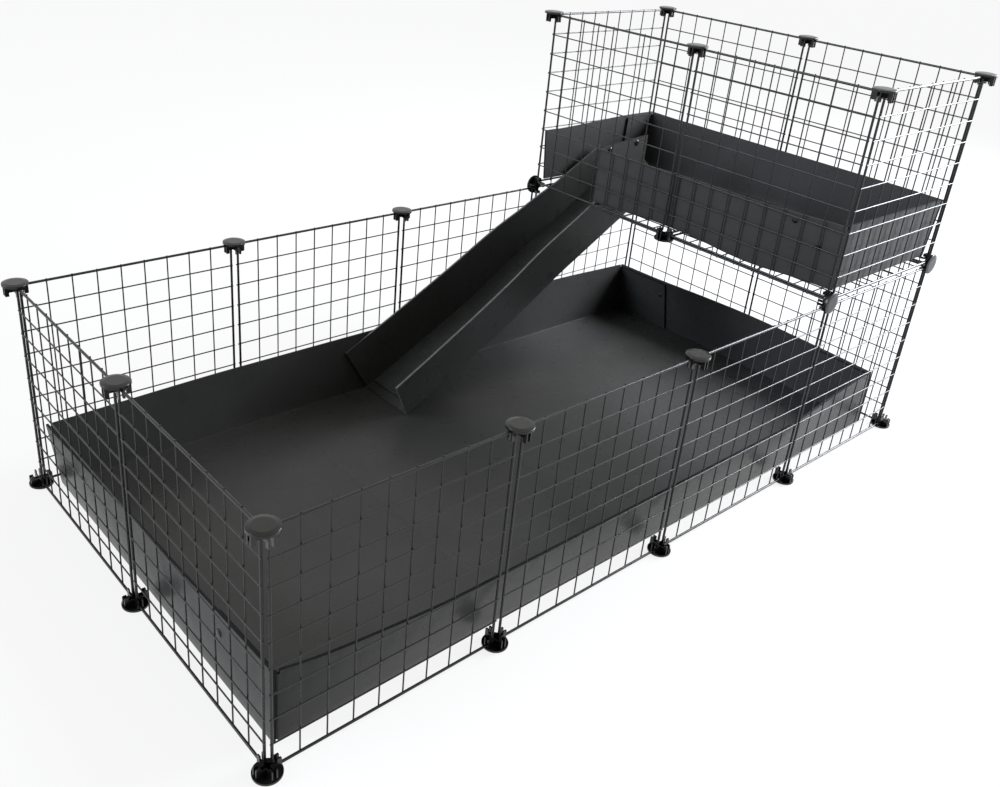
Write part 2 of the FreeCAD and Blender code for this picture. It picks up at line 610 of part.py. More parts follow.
for group, name, rotation, x, y, z in DOUBLE_RIVETS:
    label = "%s_%s" % (group, name)
    if double_rivet is None:
        body = double_rivet = build_rivet(label, "2 * sheet_thickness")
    else:
        body = copy_of(double_rivet, label)
    place(body, rotation, x, y, z)
    rivet_groups[group].append(body)
guard_rivet = build_rivet("guard_rivet_1", "sheet_thickness")
second_guard_rivet = copy_of(guard_rivet, "guard_rivet_2")
for body, along in ((guard_rivet, "guard_rivet_first"), (second_guard_rivet, "guard_rivet_second")):
    place(body, REACHING_BACK, "%s + %s" % (loft_end, along), "hole_front - sheet_thickness",
          loft_rim + " - guard_rivet_down")
    rivet_groups["loft_tray_rivets"].append(body)
for label, rivets in rivet_groups.items():
    group = document.addObject("Part::Compound", label)
    group.Links = rivets
    nodes.append(group)

document.recompute()

for thing in document.Objects:
    if "Invalid" in thing.State or "Error" in thing.State:
        raise RuntimeError("%s did not build: %s" % (thing.Label, thing.State))
for node in nodes:
    if node.Shape.isNull() or not node.Shape.isValid():
        raise RuntimeError("%s has no valid shape" % node.Label)
    pieces = len(rivet_groups.get(node.Label, [node]))
    if len(node.Shape.Solids) != pieces:
        raise RuntimeError("%s is in %d solids, not %d" % (node.Label, len(node.Shape.Solids), pieces))
    node.Shape.exportStep("parts/%s.step" % node.Label)
    box = node.Shape.BoundBox
    print("%-26s %d solids %10.0f mm3  x %8.1f %8.1f  y %8.1f %8.1f  z %7.1f %7.1f"
          % (node.Label, len(node.Shape.Solids), node.Shape.Volume,
             box.XMin, box.XMax, box.YMin, box.YMax, box.ZMin, box.ZMax))
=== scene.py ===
# %% [markdown]
# A modular pet cage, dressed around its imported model.
#
# The cage is a lattice of square wire panels clipped together at round plastic joints.
# A shallow tray of black corrugated plastic lies inside it, and a second tray makes a loft at
# one end, reached by a ramp of the same sheet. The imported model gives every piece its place,
# so this script only loads it, gives it light and a camera, and then works on finishes and on
# the pieces whose real shape is softer than the model's: the folded sheets bow and lean.
#
# Lengths are in metres, as Blender wants them, and MM turns a size in millimetres into metres.

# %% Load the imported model
import bmesh
import bpy
import json
import math
import numpy as np
from mathutils import Matrix, Vector


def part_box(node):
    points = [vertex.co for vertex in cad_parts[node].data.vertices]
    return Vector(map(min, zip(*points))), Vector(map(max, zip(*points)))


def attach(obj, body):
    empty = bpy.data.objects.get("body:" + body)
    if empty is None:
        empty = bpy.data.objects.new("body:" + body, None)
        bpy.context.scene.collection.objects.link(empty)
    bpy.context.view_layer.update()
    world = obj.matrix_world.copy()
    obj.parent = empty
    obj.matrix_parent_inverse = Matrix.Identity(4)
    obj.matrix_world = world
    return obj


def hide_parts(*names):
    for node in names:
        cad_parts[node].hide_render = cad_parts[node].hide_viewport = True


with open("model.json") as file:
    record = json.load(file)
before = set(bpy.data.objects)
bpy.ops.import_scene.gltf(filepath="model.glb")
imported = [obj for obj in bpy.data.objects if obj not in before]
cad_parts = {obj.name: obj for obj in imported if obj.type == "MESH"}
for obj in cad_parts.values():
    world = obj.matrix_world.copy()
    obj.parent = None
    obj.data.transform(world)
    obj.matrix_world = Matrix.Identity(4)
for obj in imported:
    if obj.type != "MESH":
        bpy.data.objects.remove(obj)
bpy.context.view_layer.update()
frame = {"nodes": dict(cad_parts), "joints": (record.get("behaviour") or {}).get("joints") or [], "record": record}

MM = 0.001

# %% [markdown]
# ## The camera
#
# The photograph was taken from above the cage's left front corner with a normal lens, and the
# camera was tipped a few degrees to one side. Its place was worked out from the joints, whose
# places in the lattice are known. The picture was cropped after it was taken, so the lens axis
# isn't in the middle of the frame: that is what the two shifts are for.

# %% Camera at the photograph's viewpoint
# The image, the focal length and the place of the lens axis are in pixels, the sensor in millimetres
IMAGE_WIDTH = 1000
IMAGE_HEIGHT = 787
CAMERA_PLACE = (-1.1272, -1.0833, 0.9809)
CAMERA_HEADING = math.radians(46.20)
CAMERA_PITCH = math.radians(-26.24)
CAMERA_ROLL = math.radians(5.48)
FOCAL_PIXELS = 987.84
AXIS_PIXEL = (484.95, 345.89)
SENSOR = 36.0


def place_camera():
    """Make the camera: its look direction from heading and pitch, then rolled about that direction."""
    level = math.cos(CAMERA_PITCH)
    ahead = Vector((level * math.cos(CAMERA_HEADING),
                    level * math.sin(CAMERA_HEADING),
                    math.sin(CAMERA_PITCH)))
    right = ahead.cross(Vector((0, 0, 1))).normalized()
    above = right.cross(ahead)
    rolled_right = math.cos(CAMERA_ROLL) * right + math.sin(CAMERA_ROLL) * above
    rolled_above = math.cos(CAMERA_ROLL) * above - math.sin(CAMERA_ROLL) * right
    lens = bpy.data.cameras.new("camera")
    lens.sensor_width = SENSOR
    lens.lens = FOCAL_PIXELS * SENSOR / IMAGE_WIDTH
    lens.shift_x = (IMAGE_WIDTH / 2 - AXIS_PIXEL[0]) / IMAGE_WIDTH
    lens.shift_y = (AXIS_PIXEL[1] - IMAGE_HEIGHT / 2) / IMAGE_WIDTH
    camera = bpy.data.objects.new("camera", lens)
    axes = Matrix((rolled_right, rolled_above, -ahead)).transposed().to_4x4()
    camera.matrix_world = Matrix.Translation(CAMERA_PLACE) @ axes
    bpy.context.scene.collection.objects.link(camera)
    bpy.context.scene.camera = camera
    return lens


lens = place_camera()
print("lens %.2f mm, shift %.4f %.4f" % (lens.lens, lens.shift_x, lens.shift_y))

# %% [markdown]
# ## Helpers for finishes
#
# Colours are written as they are picked from a colour chart, in sRGB, and Blender wants them
# linear, so one function does that. Another adds a shader node with its settings, its links
# and, on a colour ramp, its stops, which keeps every material a short list.

# %% Colour and node helpers
SRGB_OFFSET = 0.055
SRGB_POWER = 2.4
SRGB_KNEE = 0.04045
SRGB_SLOPE = 12.92


def colour(code):
    """Linear colour of an sRGB hex code: (c + 0.055) / 1.055 to the power 2.4, or c / 12.92 near black."""
    parts = [int(code[k:k + 2], 16) / 255 for k in (1, 3, 5)]
    linear = [((c + SRGB_OFFSET) / (1 + SRGB_OFFSET)) ** SRGB_POWER if c > SRGB_KNEE else c / SRGB_SLOPE
              for c in parts]
    return (*linear, 1.0)


def add_node(tree, kind, settings=None, inputs=None, stops=()):
    """Add a node; settings are its properties, inputs its sockets' values or the sockets that feed them.

    The stops of a colour ramp are pairs of a place and an sRGB hex code.
    """
    node = tree.nodes.new(kind)
    for name, value in (settings or {}).items():
        setattr(node, name, value)
    for name, value in (inputs or {}).items():
        if isinstance(value, bpy.types.NodeSocket):
            tree.links.new(value, node.inputs[name])
        else:
            node.inputs[name].default_value = value
    for k, (place, code) in enumerate(stops):
        if k == len(node.color_ramp.elements):
            node.color_ramp.elements.new(place)
        node.color_ramp.elements[k].position = place
        node.color_ramp.elements[k].color = colour(code)
    return node


def new_material(name):
    """An empty node material, and the tree to fill."""
    material = bpy.data.materials.new(name)
    material.use_nodes = True
    tree = material.node_tree
    tree.nodes.clear()
    return material, tree


def seen_ray(tree):
    """Socket that is 1 for rays from the camera, off a shiny face or through glass, and 0 for all others."""
    path = add_node(tree, "ShaderNodeLightPath")
    seen = path.outputs["Is Camera Ray"]
    for kind in ("Is Glossy Ray", "Is Transmission Ray"):
        larger = add_node(tree, "ShaderNodeMath", {"operation": "MAXIMUM"}, {0: seen, 1: path.outputs[kind]})
        seen = larger.outputs["Value"]
    return seen


# %% [markdown]
# ## Floor
#
# The photograph is a cut-out on white. A floor of white card does that. Most of what the
# camera and reflections get from it is its own white, so that it stays plain white and its
# shadows pale, while it lights the cage only as card does. More light on a plain card would
# whiten it too, but would wash out the black plastic on the way.

# %% White card floor
FLOOR_SIZE = 30.0
FLOOR_OWN_WHITE = 0.85
CARD_CLOUD = 330 * MM
CARD_COLOURS = ((0.0, "#f4f4f4"), (1.0, "#f8f8f8"))
WHITE = (1.0, 1.0, 1.0, 1.0)


def white_card():
    """White card, mixed with its own white for the rays that see it; its tone drifts a little."""
    material, tree = new_material("white_card_floor")
    place = add_node(tree, "ShaderNodeTexCoord").outputs["Object"]
    cloud = add_node(tree, "ShaderNodeTexNoise", inputs={"Vector": place, "Scale": 1 / CARD_CLOUD})
    shade = add_node(tree, "ShaderNodeValToRGB", inputs={"Fac": cloud.outputs["Fac"]}, stops=CARD_COLOURS)
    card = add_node(tree, "ShaderNodeBsdfDiffuse", inputs={"Color": shade.outputs["Color"]})
    white = add_node(tree, "ShaderNodeEmission", inputs={"Color": WHITE, "Strength": 1.0})
    share = add_node(tree, "ShaderNodeMath", {"operation": "MULTIPLY"}, {
        0: seen_ray(tree), 1: FLOOR_OWN_WHITE})
    both = add_node(tree, "ShaderNodeMixShader", inputs={
        0: share.outputs["Value"], 1: card.outputs["BSDF"], 2: white.outputs["Emission"]})
    add_node(tree, "ShaderNodeOutputMaterial", inputs={"Surface": both.outputs["Shader"]})
    return material


def build_floor():
    """A square floor of white card under the cage."""
    half = FLOOR_SIZE / 2
    corners = [(-half, -half, 0), (half, -half, 0), (half, half, 0), (-half, half, 0)]
    mesh = bpy.data.meshes.new("floor")
    mesh.from_pydata(corners, [], [(0, 1, 2, 3)])
    mesh.materials.append(white_card())
    floor = bpy.data.objects.new("floor", mesh)
    bpy.context.scene.collection.objects.link(floor)


build_floor()
print("floor", FLOOR_SIZE, "m wide")

# %% [markdown]
# ## Surroundings
#
# Black plastic shows little but what it reflects, so the surroundings shape every piece here.
# They are white at the horizon and less bright overhead, as in a room with wide windows: walls
# that reflect the floor look pale, and faces that look up at the ceiling stay dark. To the
# light that falls on the pieces, though not to the camera or to reflections, the room is dark
# on the photographer's side, which keeps the tray's front wall darker than its floor.

# %% Room around the cage
# Colours of the room by the sine of the height above the horizon, a little cooler at the windows
SKY_STOPS = ((0.0, "#f4f6f7"), (0.3, "#fafbfc"), (0.5, "#fbfaf8"), (0.75, "#e4e2de"), (1.0, "#d0cdc8"))
# Strength of the room for the rays that only light the pieces
SKY_LIGHT = 0.76
# Direction of the room's dark side, its colour, and the cosines from it where it begins and is full
DARK_SIDE = (-0.62, -0.78, 0.0)
DARK_SIDE_COLOUR = "#262625"
DARK_SIDE_FROM = 0.1
DARK_SIDE_FULL = 0.75


def build_world():
    """Room that is white at the horizon, less bright overhead, and dark on the photographer's side."""
    world = bpy.data.worlds.new("studio")
    bpy.context.scene.world = world
    world.use_nodes = True
    tree = world.node_tree
    tree.nodes.clear()
    direction = add_node(tree, "ShaderNodeTexCoord").outputs["Generated"]
    height = add_node(tree, "ShaderNodeSeparateXYZ", inputs={"Vector": direction}).outputs["Z"]
    fade = add_node(tree, "ShaderNodeValToRGB", inputs={"Fac": height}, stops=SKY_STOPS)
    facing = add_node(tree, "ShaderNodeVectorMath", {"operation": "DOT_PRODUCT"}, {
        0: direction, 1: DARK_SIDE})
    darkness = add_node(tree, "ShaderNodeMapRange", {"interpolation_type": "SMOOTHSTEP"}, {
        "Value": facing.outputs["Value"], "From Min": DARK_SIDE_FROM, "From Max": DARK_SIDE_FULL})
    seen = seen_ray(tree)
    unseen = add_node(tree, "ShaderNodeMath", {"operation": "SUBTRACT"}, {0: 1.0, 1: seen})
    share = add_node(tree, "ShaderNodeMath", {"operation": "MULTIPLY"}, {
        0: darkness.outputs["Result"], 1: unseen.outputs["Value"]})
    strength = add_node(tree, "ShaderNodeMapRange", inputs={
        "Value": seen, "To Min": SKY_LIGHT, "To Max": 1.0})
    sky = add_node(tree, "ShaderNodeBackground", inputs={
        "Color": fade.outputs["Color"], "Strength": strength.outputs["Result"]})
    dark = add_node(tree, "ShaderNodeBackground", inputs={"Color": colour(DARK_SIDE_COLOUR), "Strength": 1.0})
    room = add_node(tree, "ShaderNodeMixShader", inputs={
        0: share.outputs["Value"], 1: sky.outputs["Background"], 2: dark.outputs["Background"]})
    add_node(tree, "ShaderNodeOutputWorld", inputs={"Surface": room.outputs["Shader"]})


build_world()
print("room with", len(SKY_STOPS), "tones")

# %% [markdown]
# ## Lamps
#
# A window behind the cage on the left gives the end wall and the ramp their sheen, and throws
# the joints' soft shadows along the walls. A large softbox in front on the right lights the
# floors of the trays, and a small one lower down draws the bright lines along the wires there.

# %% Window and softboxes
# The window is so far off that it lights the whole floor alike: its breadth in degrees, where it
# lies as seen from the cage, and its strength
WINDOW_BREADTH = 30
WINDOW_DIRECTION = (-0.9, 0.42, 0.42)
WINDOW_STRENGTH = 1.9
WINDOW_COLOUR = "#e2ecff"
# Name of each softbox, its place, the point that it faces, its side in metres, and its power in watts
SOFTBOXES = (("softbox_right", (2.45, -0.8, 1.5), (0.3, 0.0, 0.2), 1.3, 180.0),
             ("lamp_low_on_the_right", (3.1, -1.9, 0.7), (0.4, -0.3, 0.3), 0.5, 30.0))
SOFTBOX_COLOUR = "#ecf1fb"


def add_lamp(name, kind, tone, place, target, settings):
    """A lamp of some kind and tone at a place, facing a target; settings are its own properties."""
    lamp = bpy.data.lights.new(name, kind)
    lamp.color = colour(tone)[:3]
    for setting, value in settings.items():
        setattr(lamp, setting, value)
    holder = bpy.data.objects.new(name, lamp)
    holder.location = place
    holder.rotation_euler = (Vector(target) - Vector(place)).to_track_quat("-Z", "Y").to_euler()
    bpy.context.scene.collection.objects.link(holder)


add_lamp("window_behind_left", "SUN", WINDOW_COLOUR, WINDOW_DIRECTION, (0, 0, 0),
         {"angle": math.radians(WINDOW_BREADTH), "energy": WINDOW_STRENGTH})
for name, place, target, size, power in SOFTBOXES:
    add_lamp(name, "AREA", SOFTBOX_COLOUR, place, target, {"shape": "SQUARE", "size": size, "energy": power})
bpy.context.scene.view_settings.view_transform = "Standard"
print("lamps", [lamp.name for lamp in bpy.data.lights])

# %% [markdown]
# ## Finishes of one plain material
#
# Wire, joints, cut edges and rubber are each one material whose face is a little uneven. Broad
# patches move its tone and its roughness together, because where a face is worn, dusty or
# thinly coated both change, and a fine grain bumps it. One function takes up what these
# finishes share, so that each is then only its own numbers.

# %% Uneven finish


def uneven_finish(name, patches, tones, roughness, body, grain=None, bump=None):
    """A finish whose tone and roughness follow broad patches; a grain, where given, bumps it.

    Patches, body, grain and bump are the inputs of their nodes, and tones are a colour ramp's stops.
    """
    material, tree = new_material(name)
    place = add_node(tree, "ShaderNodeTexCoord").outputs["Object"]
    patch = add_node(tree, "ShaderNodeTexNoise", inputs={"Vector": place, **patches}).outputs["Fac"]
    shade = add_node(tree, "ShaderNodeValToRGB", inputs={"Fac": patch}, stops=tones)
    rough = add_node(tree, "ShaderNodeMapRange", inputs={
        "Value": patch, "To Min": roughness[0], "To Max": roughness[1]})
    face = add_node(tree, "ShaderNodeBsdfPrincipled", inputs={
        "Base Color": shade.outputs["Color"], "Roughness": rough.outputs["Result"], **body})
    if grain:
        height = add_node(tree, "ShaderNodeTexNoise", inputs={"Vector": place, **grain}).outputs["Fac"]
        bumped = add_node(tree, "ShaderNodeBump", inputs={"Height": height, **bump})
        tree.links.new(bumped.outputs["Normal"], face.inputs["Normal"])
    add_node(tree, "ShaderNodeOutputMaterial", inputs={"Surface": face.outputs["BSDF"]})
    print("made", name)
    return material


# %% [markdown]
# ## Powder-coated wire
#
# The panels are welded steel wire, powder coated black. The powder is baked on and flows into a
# satin coat with a faint orange-peel surface, greyer and duller where it is thin. The coat
# hides all the metal, so a metal's shader isn't needed. The peel is drawn a little coarser
# than it is, because a real one would be too fine to show.

# %% Powder coat
COAT_PATCH = 60 * MM
COAT_PEEL = 1.2 * MM
COAT_PEEL_DEPTH = 0.05 * MM
steel = uneven_finish("powder_coated_steel_wire",
                      patches={"Scale": 1 / COAT_PATCH, "Detail": 3.0},
                      tones=((0.3, "#0f1010"), (0.7, "#181919")),
                      roughness=(0.22, 0.34),
                      body={"IOR": 1.46},
                      grain={"Scale": 1 / COAT_PEEL, "Detail": 1.0},
                      bump={"Strength": 0.25, "Distance": COAT_PEEL_DEPTH})

# %% [markdown]
# ## Moulded joints
#
# The joints and the push rivets are injection-moulded ABS from a polished mould. It is the
# glossiest black on the cage, and hands and floors have scuffed its discs. The scuffs could be
# pale streaks, but the eye reads their change of shine before any change of colour, so they
# are small patches with much detail that mostly move the roughness.

# %% Moulded plastic
SCUFF_SIZE = 9 * MM
MOULD_GRAIN = 1.5 * MM
MOULD_GRAIN_DEPTH = 0.04 * MM
abs_plastic = uneven_finish("moulded_abs_joint",
                            patches={"Scale": 1 / SCUFF_SIZE, "Detail": 6.0, "Roughness": 0.7},
                            tones=((0.35, "#0a0a09"), (0.7, "#131311")),
                            roughness=(0.16, 0.34),
                            body={"IOR": 1.47},
                            grain={"Scale": 1 / MOULD_GRAIN, "Detail": 2.0},
                            bump={"Strength": 0.15, "Distance": MOULD_GRAIN_DEPTH})

# %% [markdown]
# ## Corrugated sheet
#
# The trays and the ramp are twin-wall polypropylene: two thin skins with flutes between them,
# which show as faint parallel lines. Their skin is satin and dark grey rather than black. The
# lines follow the sheet round its folds, so they are a wave on the piece's own flat map, and
# the rest is noise on Object coordinates. Polypropylene mirrors less than its index says,
# because its skin is finely scratched, so the level of its reflection is turned down.

# %% Corrugated polypropylene
FLUTE_PITCH = 4.6 * MM
FLUTE_DEPTH = 0.04 * MM
SHEET_CLOUD = 220 * MM
SKIN_WAVE = 30 * MM
SKIN_WAVE_DEPTH = 0.08 * MM
SHEET_COLOURS = ((0.3, "#3b3b39"), (0.7, "#454543"))


def corrugated_polypropylene():
    """Twin-wall sheet: satin skin, flutes showing as faint parallel lines along the sheet's own V."""
    material, tree = new_material("corrugated_polypropylene_sheet")
    place = add_node(tree, "ShaderNodeTexCoord")
    across = add_node(tree, "ShaderNodeSeparateXYZ", inputs={"Vector": place.outputs["UV"]}).outputs["Y"]
    turns = add_node(tree, "ShaderNodeMath", {"operation": "MULTIPLY"}, {
        0: across, 1: 2 * math.pi / FLUTE_PITCH})
    flute = add_node(tree, "ShaderNodeMath", {"operation": "COSINE"}, {0: turns.outputs["Value"]})
    cloud = add_node(tree, "ShaderNodeTexNoise", inputs={
        "Vector": place.outputs["Object"], "Scale": 1 / SHEET_CLOUD, "Detail": 4.0, "Roughness": 0.55})
    wave = add_node(tree, "ShaderNodeTexNoise", inputs={
        "Vector": place.outputs["Object"], "Scale": 1 / SKIN_WAVE, "Detail": 2.0, "Roughness": 0.5})
    shade = add_node(tree, "ShaderNodeValToRGB", inputs={"Fac": cloud.outputs["Fac"]}, stops=SHEET_COLOURS)
    shine = add_node(tree, "ShaderNodeMapRange", inputs={
        "Value": wave.outputs["Fac"], "To Min": 0.24, "To Max": 0.33})
    lines = add_node(tree, "ShaderNodeBump", inputs={
        "Height": flute.outputs["Value"], "Strength": 0.15, "Distance": FLUTE_DEPTH})
    skin = add_node(tree, "ShaderNodeBump", inputs={
        "Height": wave.outputs["Fac"], "Strength": 0.12, "Distance": SKIN_WAVE_DEPTH,
        "Normal": lines.outputs["Normal"]})
    plastic = add_node(tree, "ShaderNodeBsdfPrincipled", inputs={
        "Base Color": shade.outputs["Color"], "Roughness": shine.outputs["Result"],
        "IOR": 1.5, "Specular IOR Level": 0.12, "Normal": skin.outputs["Normal"]})
    add_node(tree, "ShaderNodeOutputMaterial", inputs={"Surface": plastic.outputs["BSDF"]})
    return material


sheet_plastic = corrugated_polypropylene()
print("made", sheet_plastic.name)

# %% [markdown]
# ## Cut edges
#
# Along its rims the sheet is cut with a knife. On the trays the edge gets a dark tone, a painted
# shade that stands for the shaded hollows of the open flutes, and draws a dark line round every
# rim. On the ramp the edges get pale tones, a painted highlight of the light that catches them.
# Both are duller than the skin and differ only in tone and in how much they mirror. Hollows of
# their own would be too fine to see from here.

# %% Cut edge of the sheet
EDGE_PATCH = 6 * MM


def edge_finish(name, dark, pale, mirror):
    """The sheet's cut edge: dull, its tone drifting in patches between a given dark and a given pale tone."""
    return uneven_finish(name,
                         patches={"Scale": 1 / EDGE_PATCH, "Detail": 3.0},
                         tones=((0.3, dark), (0.7, pale)),
                         roughness=(0.4, 0.6),
                         body={"IOR": 1.5, "Specular IOR Level": mirror})


# The trays' edge: a dark tone, painted shade standing for the shaded hollows of the open flutes
cut_edge_painted_shade = edge_finish("tray_edge_with_painted_flute_shade", "#141514", "#1e1f1e", 0.08)
# The ramp's edge: pale tones, a painted highlight of the light that catches its cut rims
ramp_edge_painted_highlight = edge_finish("ramp_edge_with_painted_highlight", "#565857", "#757774", 0.5)

# %% [markdown]
# ## Rubber
#
# The mat on the ramp is vulcanised rubber, dull and a little dusty, which makes it mottled and
# greener than the plastic round it. Broad patches mottle it, and a crumb of about two
# millimetres roughens its face. Its ribs are real shape and come later.

# %% Ribbed rubber
MOTTLE_SIZE = 35 * MM
CRUMB_SIZE = 2 * MM
CRUMB_DEPTH = 0.2 * MM
rubber = uneven_finish("ribbed_rubber_mat",
                       patches={"Scale": 1 / MOTTLE_SIZE, "Detail": 5.0, "Roughness": 0.65},
                       tones=((0.35, "#1c1f1d"), (0.65, "#2e322f")),
                       roughness=(0.55, 0.8),
                       body={"IOR": 1.52},
                       grain={"Scale": 1 / CRUMB_SIZE, "Detail": 2.0},
                       bump={"Strength": 0.3, "Distance": CRUMB_DEPTH})

# %% [markdown]
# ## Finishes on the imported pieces
#
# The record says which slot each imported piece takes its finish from. Wires and joints keep the
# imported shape, which is the real one, and only get their finish here.

# %% Give each node its finish
FINISHES = {"wire": steel, "joint": abs_plastic, "sheet": sheet_plastic, "mat": rubber, "rivet": abs_plastic}
slots = {row["node"]: row["material_slot"] for row in frame["record"]["subparts"]}
for name, piece in frame["nodes"].items():
    piece.data.materials.clear()
    piece.data.materials.append(FINISHES[slots[name]])
print("finished nodes", len(slots))

# %% [markdown]
# ## Folded sheet, in general
#
# Trays and ramp are sheet, 4 mm thick, scored and folded by hand. A bent solid would be hard
# to bow afterwards, so only the outer skin is worked out here, as flat patches and bends that
# share their edges. Merging the shared edges makes one skin, and Solidify gives it its
# thickness inwards. Every patch carries its place in the flat sheet as UV, so that the flutes
# run on unbroken round a fold.

# %% Sheet helpers
SHEET = 4.0 * MM
FOLD = 4.3 * MM
FOLD_STEPS = 5
BEND_LENGTH = FOLD * math.pi / 2
EASE_SAMPLES = 9


def quarter_turn():
    """Angles of the points of a fold, from nothing to a quarter turn."""
    return np.linspace(0, math.pi / 2, FOLD_STEPS + 1)


def run_length(path):
    """Distance along a path of points, starting at zero."""
    steps = np.linalg.norm(np.diff(path, axis=0), axis=1)
    return np.concatenate([[0.0], np.cumsum(steps)])


def swept(profile, places, axis):
    """Carry a plane profile straight along an axis: point (i, j) is profile i at place j."""
    points = np.empty((len(profile), len(places), 3))
    others = [k for k in range(3) if k != axis]
    points[:, :, axis] = places[None, :]
    points[:, :, others[0]] = profile[:, None, 0]
    points[:, :, others[1]] = profile[:, None, 1]
    return points


def level_grid(xs, ys):
    """Grid of points at height zero, over all pairs of the two rows of places."""
    points = np.zeros((len(xs), len(ys), 3))
    points[..., 0], points[..., 1] = xs[:, None], ys[None, :]
    return points


def flat_place(first, second):
    """Place in the flat sheet of each grid point, from what gives its first and its second number."""
    return np.stack(np.broadcast_arrays(first, second), -1)


def eased(places, marks, values, blur):
    """Values read at marks, joined by straight lines and softened by averaging over a length."""
    shifts = np.linspace(-blur / 2, blur / 2, EASE_SAMPLES)
    return np.mean([np.interp(places + shift, marks, values) for shift in shifts], axis=0)


def fading(distance, reach):
    """Share that is left at a distance: (1 - (d / reach)^2)^2, and nothing beyond the reach."""
    return (1 - np.clip(np.abs(distance) / reach, 0, 1) ** 2) ** 2


# %% [markdown]
# ## From patches to a piece
#
# Each patch is a grid of points with its places in the flat sheet. The grids are put into one
# mesh, and points of neighbouring patches that coincide are merged. The faces are then turned
# to look outwards together, before the wall gets its thickness, because afterwards the inner
# side could be turned round by mistake.

# %% Joining and thickening
MERGE = 0.02 * MM
SMOOTH_ANGLE = math.radians(32)


def patch_mesh(name, patches):
    """One mesh from grids of points with their flat places: each grid's neighbours make its faces."""
    points, flats, faces = [], [], []
    start = 0
    for grid, flat in patches:
        rows, columns = grid.shape[:2]
        number = start + np.arange(rows * columns).reshape(rows, columns)
        quads = np.stack([number[:-1, :-1], number[1:, :-1], number[1:, 1:], number[:-1, 1:]], -1)
        points.append(grid.reshape(-1, 3))
        flats.append(flat.reshape(-1, 2))
        faces.append(quads.reshape(-1, 4))
        start += rows * columns
    points, flats, faces = np.concatenate(points), np.concatenate(flats), np.concatenate(faces)
    mesh = bpy.data.meshes.new(name)
    mesh.from_pydata(points, [], faces)
    layer = mesh.uv_layers.new(name="flat_sheet")
    layer.data.foreach_set("uv", flats[faces.reshape(-1)].astype(np.float32).ravel())
    return mesh


def merge_and_face_outwards(mesh):
    """Merge points that coincide, and turn all faces so that the lowest one looks down."""
    skin = bmesh.new()
    skin.from_mesh(mesh)
    bmesh.ops.remove_doubles(skin, verts=skin.verts, dist=MERGE)
    bmesh.ops.recalc_face_normals(skin, faces=skin.faces)
    lowest = min(skin.faces, key=lambda face: face.calc_center_median().z)
    if lowest.normal.z > 0:
        bmesh.ops.reverse_faces(skin, faces=skin.faces)
    skin.to_mesh(mesh)
    skin.free()


def thicken(piece, thickness):
    """Give a skin its thickness inwards; its rims take the last of its finishes."""
    wall = piece.modifiers.new("thickness", "SOLIDIFY")
    wall.thickness = thickness
    wall.offset = -1.0
    wall.use_even_offset = True
    wall.use_quality_normals = True
    wall.material_offset_rim = len(piece.data.materials) - 1
    graph = bpy.context.evaluated_depsgraph_get()
    made = bpy.data.meshes.new_from_object(piece.evaluated_get(graph), depsgraph=graph)
    skin = piece.data
    piece.modifiers.clear()
    piece.data = made
    bpy.data.meshes.remove(skin)


def join_patches(name, patches, finishes, thickness=None):
    """One piece from its patches: merged, facing outwards, and thickened where a thickness is given."""
    mesh = patch_mesh(name, patches)
    merge_and_face_outwards(mesh)
    for finish in finishes:
        mesh.materials.append(finish)
    piece = bpy.data.objects.new(name, mesh)
    bpy.context.scene.collection.objects.link(piece)
    if thickness:
        thicken(piece, thickness)
    mesh = piece.data
    mesh.polygons.foreach_set("use_smooth", np.ones(len(mesh.polygons), bool))
    mesh.set_sharp_from_angle(angle=SMOOTH_ANGLE)
    print(name, len(mesh.polygons), "faces")
    return piece


# %% [markdown]
# ## Walls, folds and corner flaps
#
# A tray's wall is a straight line from its rim down to a quarter circle that runs into the
# floor. At a corner one wall ends flush with the other's outer face, and the other wall is bent
# round inside it and runs on as a flap. The flap stops a little below the rim, and its free
# end slants, because that is how such a corner is cut to go in easily.

# %% Tray walls
RIM_GAP = 5.0 * MM
FLAP_LOOSE = 0.4 * MM
FLAP_SLOPE = 14.0 * MM
CORNER = SHEET + FLAP_LOOSE + FOLD
WALL_ROWS = 9
FLAP_COLUMNS = 5


def wall_heights(height):
    """Heights of a wall's rows above the tray's underside: the rim, the flap's top, down to the fold."""
    return np.concatenate([[height], np.linspace(height - RIM_GAP, FOLD, WALL_ROWS)])


def fold_section(foot, outward):
    """Quarter circle from a wall to the floor: (foot - outward r (1 - cos a), r (1 - sin a))."""
    turn = quarter_turn()
    return np.stack([foot - outward * FOLD * (1 - np.cos(turn)), FOLD * (1 - np.sin(turn))], 1)


def wall_section(foot, outward, height):
    """Wall and fold in section from the rim to the floor, and each point's place in the flat sheet."""
    rows = wall_heights(height)
    line = np.stack([np.full(len(rows), foot), rows], 1)
    section = np.concatenate([line, fold_section(foot, outward)[1:]])
    return section, foot + outward * (run_length(section[::-1])[::-1] - FOLD)


def corner_flap(corner, along, inward, length, height):
    """Bend and flap at a corner: a quarter circle in plan, then straight on along the other wall.

    A flap's length shrinks evenly with height, by the flap slope in all.
    """
    heights = wall_heights(height)[1:]
    turn = quarter_turn()
    away = CORNER - FOLD * np.sin(turn)
    depth = FOLD - FOLD * np.cos(turn)
    share = np.linspace(0, 1, FLAP_COLUMNS)[1:]
    reach = length - FLAP_SLOPE * (heights - FOLD) / (height - RIM_GAP - FOLD)
    run = FOLD + share[None, :] * (reach[:, None] - FOLD)
    away = np.concatenate([np.tile(away, (len(heights), 1)), np.full_like(run, CORNER - FOLD)], 1)
    depth = np.concatenate([np.tile(depth, (len(heights), 1)), run], 1)
    grid = np.zeros(away.shape + (3,))
    grid[..., :2] = corner + away[..., None] * np.array(along) + depth[..., None] * np.array(inward)
    grid[..., 2] = heights[:, None]
    travelled = np.concatenate([np.tile(turn * FOLD, (len(heights), 1)), BEND_LENGTH + run - FOLD], 1)
    risen = BEND_LENGTH - FOLD + heights[:, None] + np.zeros_like(away)
    return grid, travelled, risen


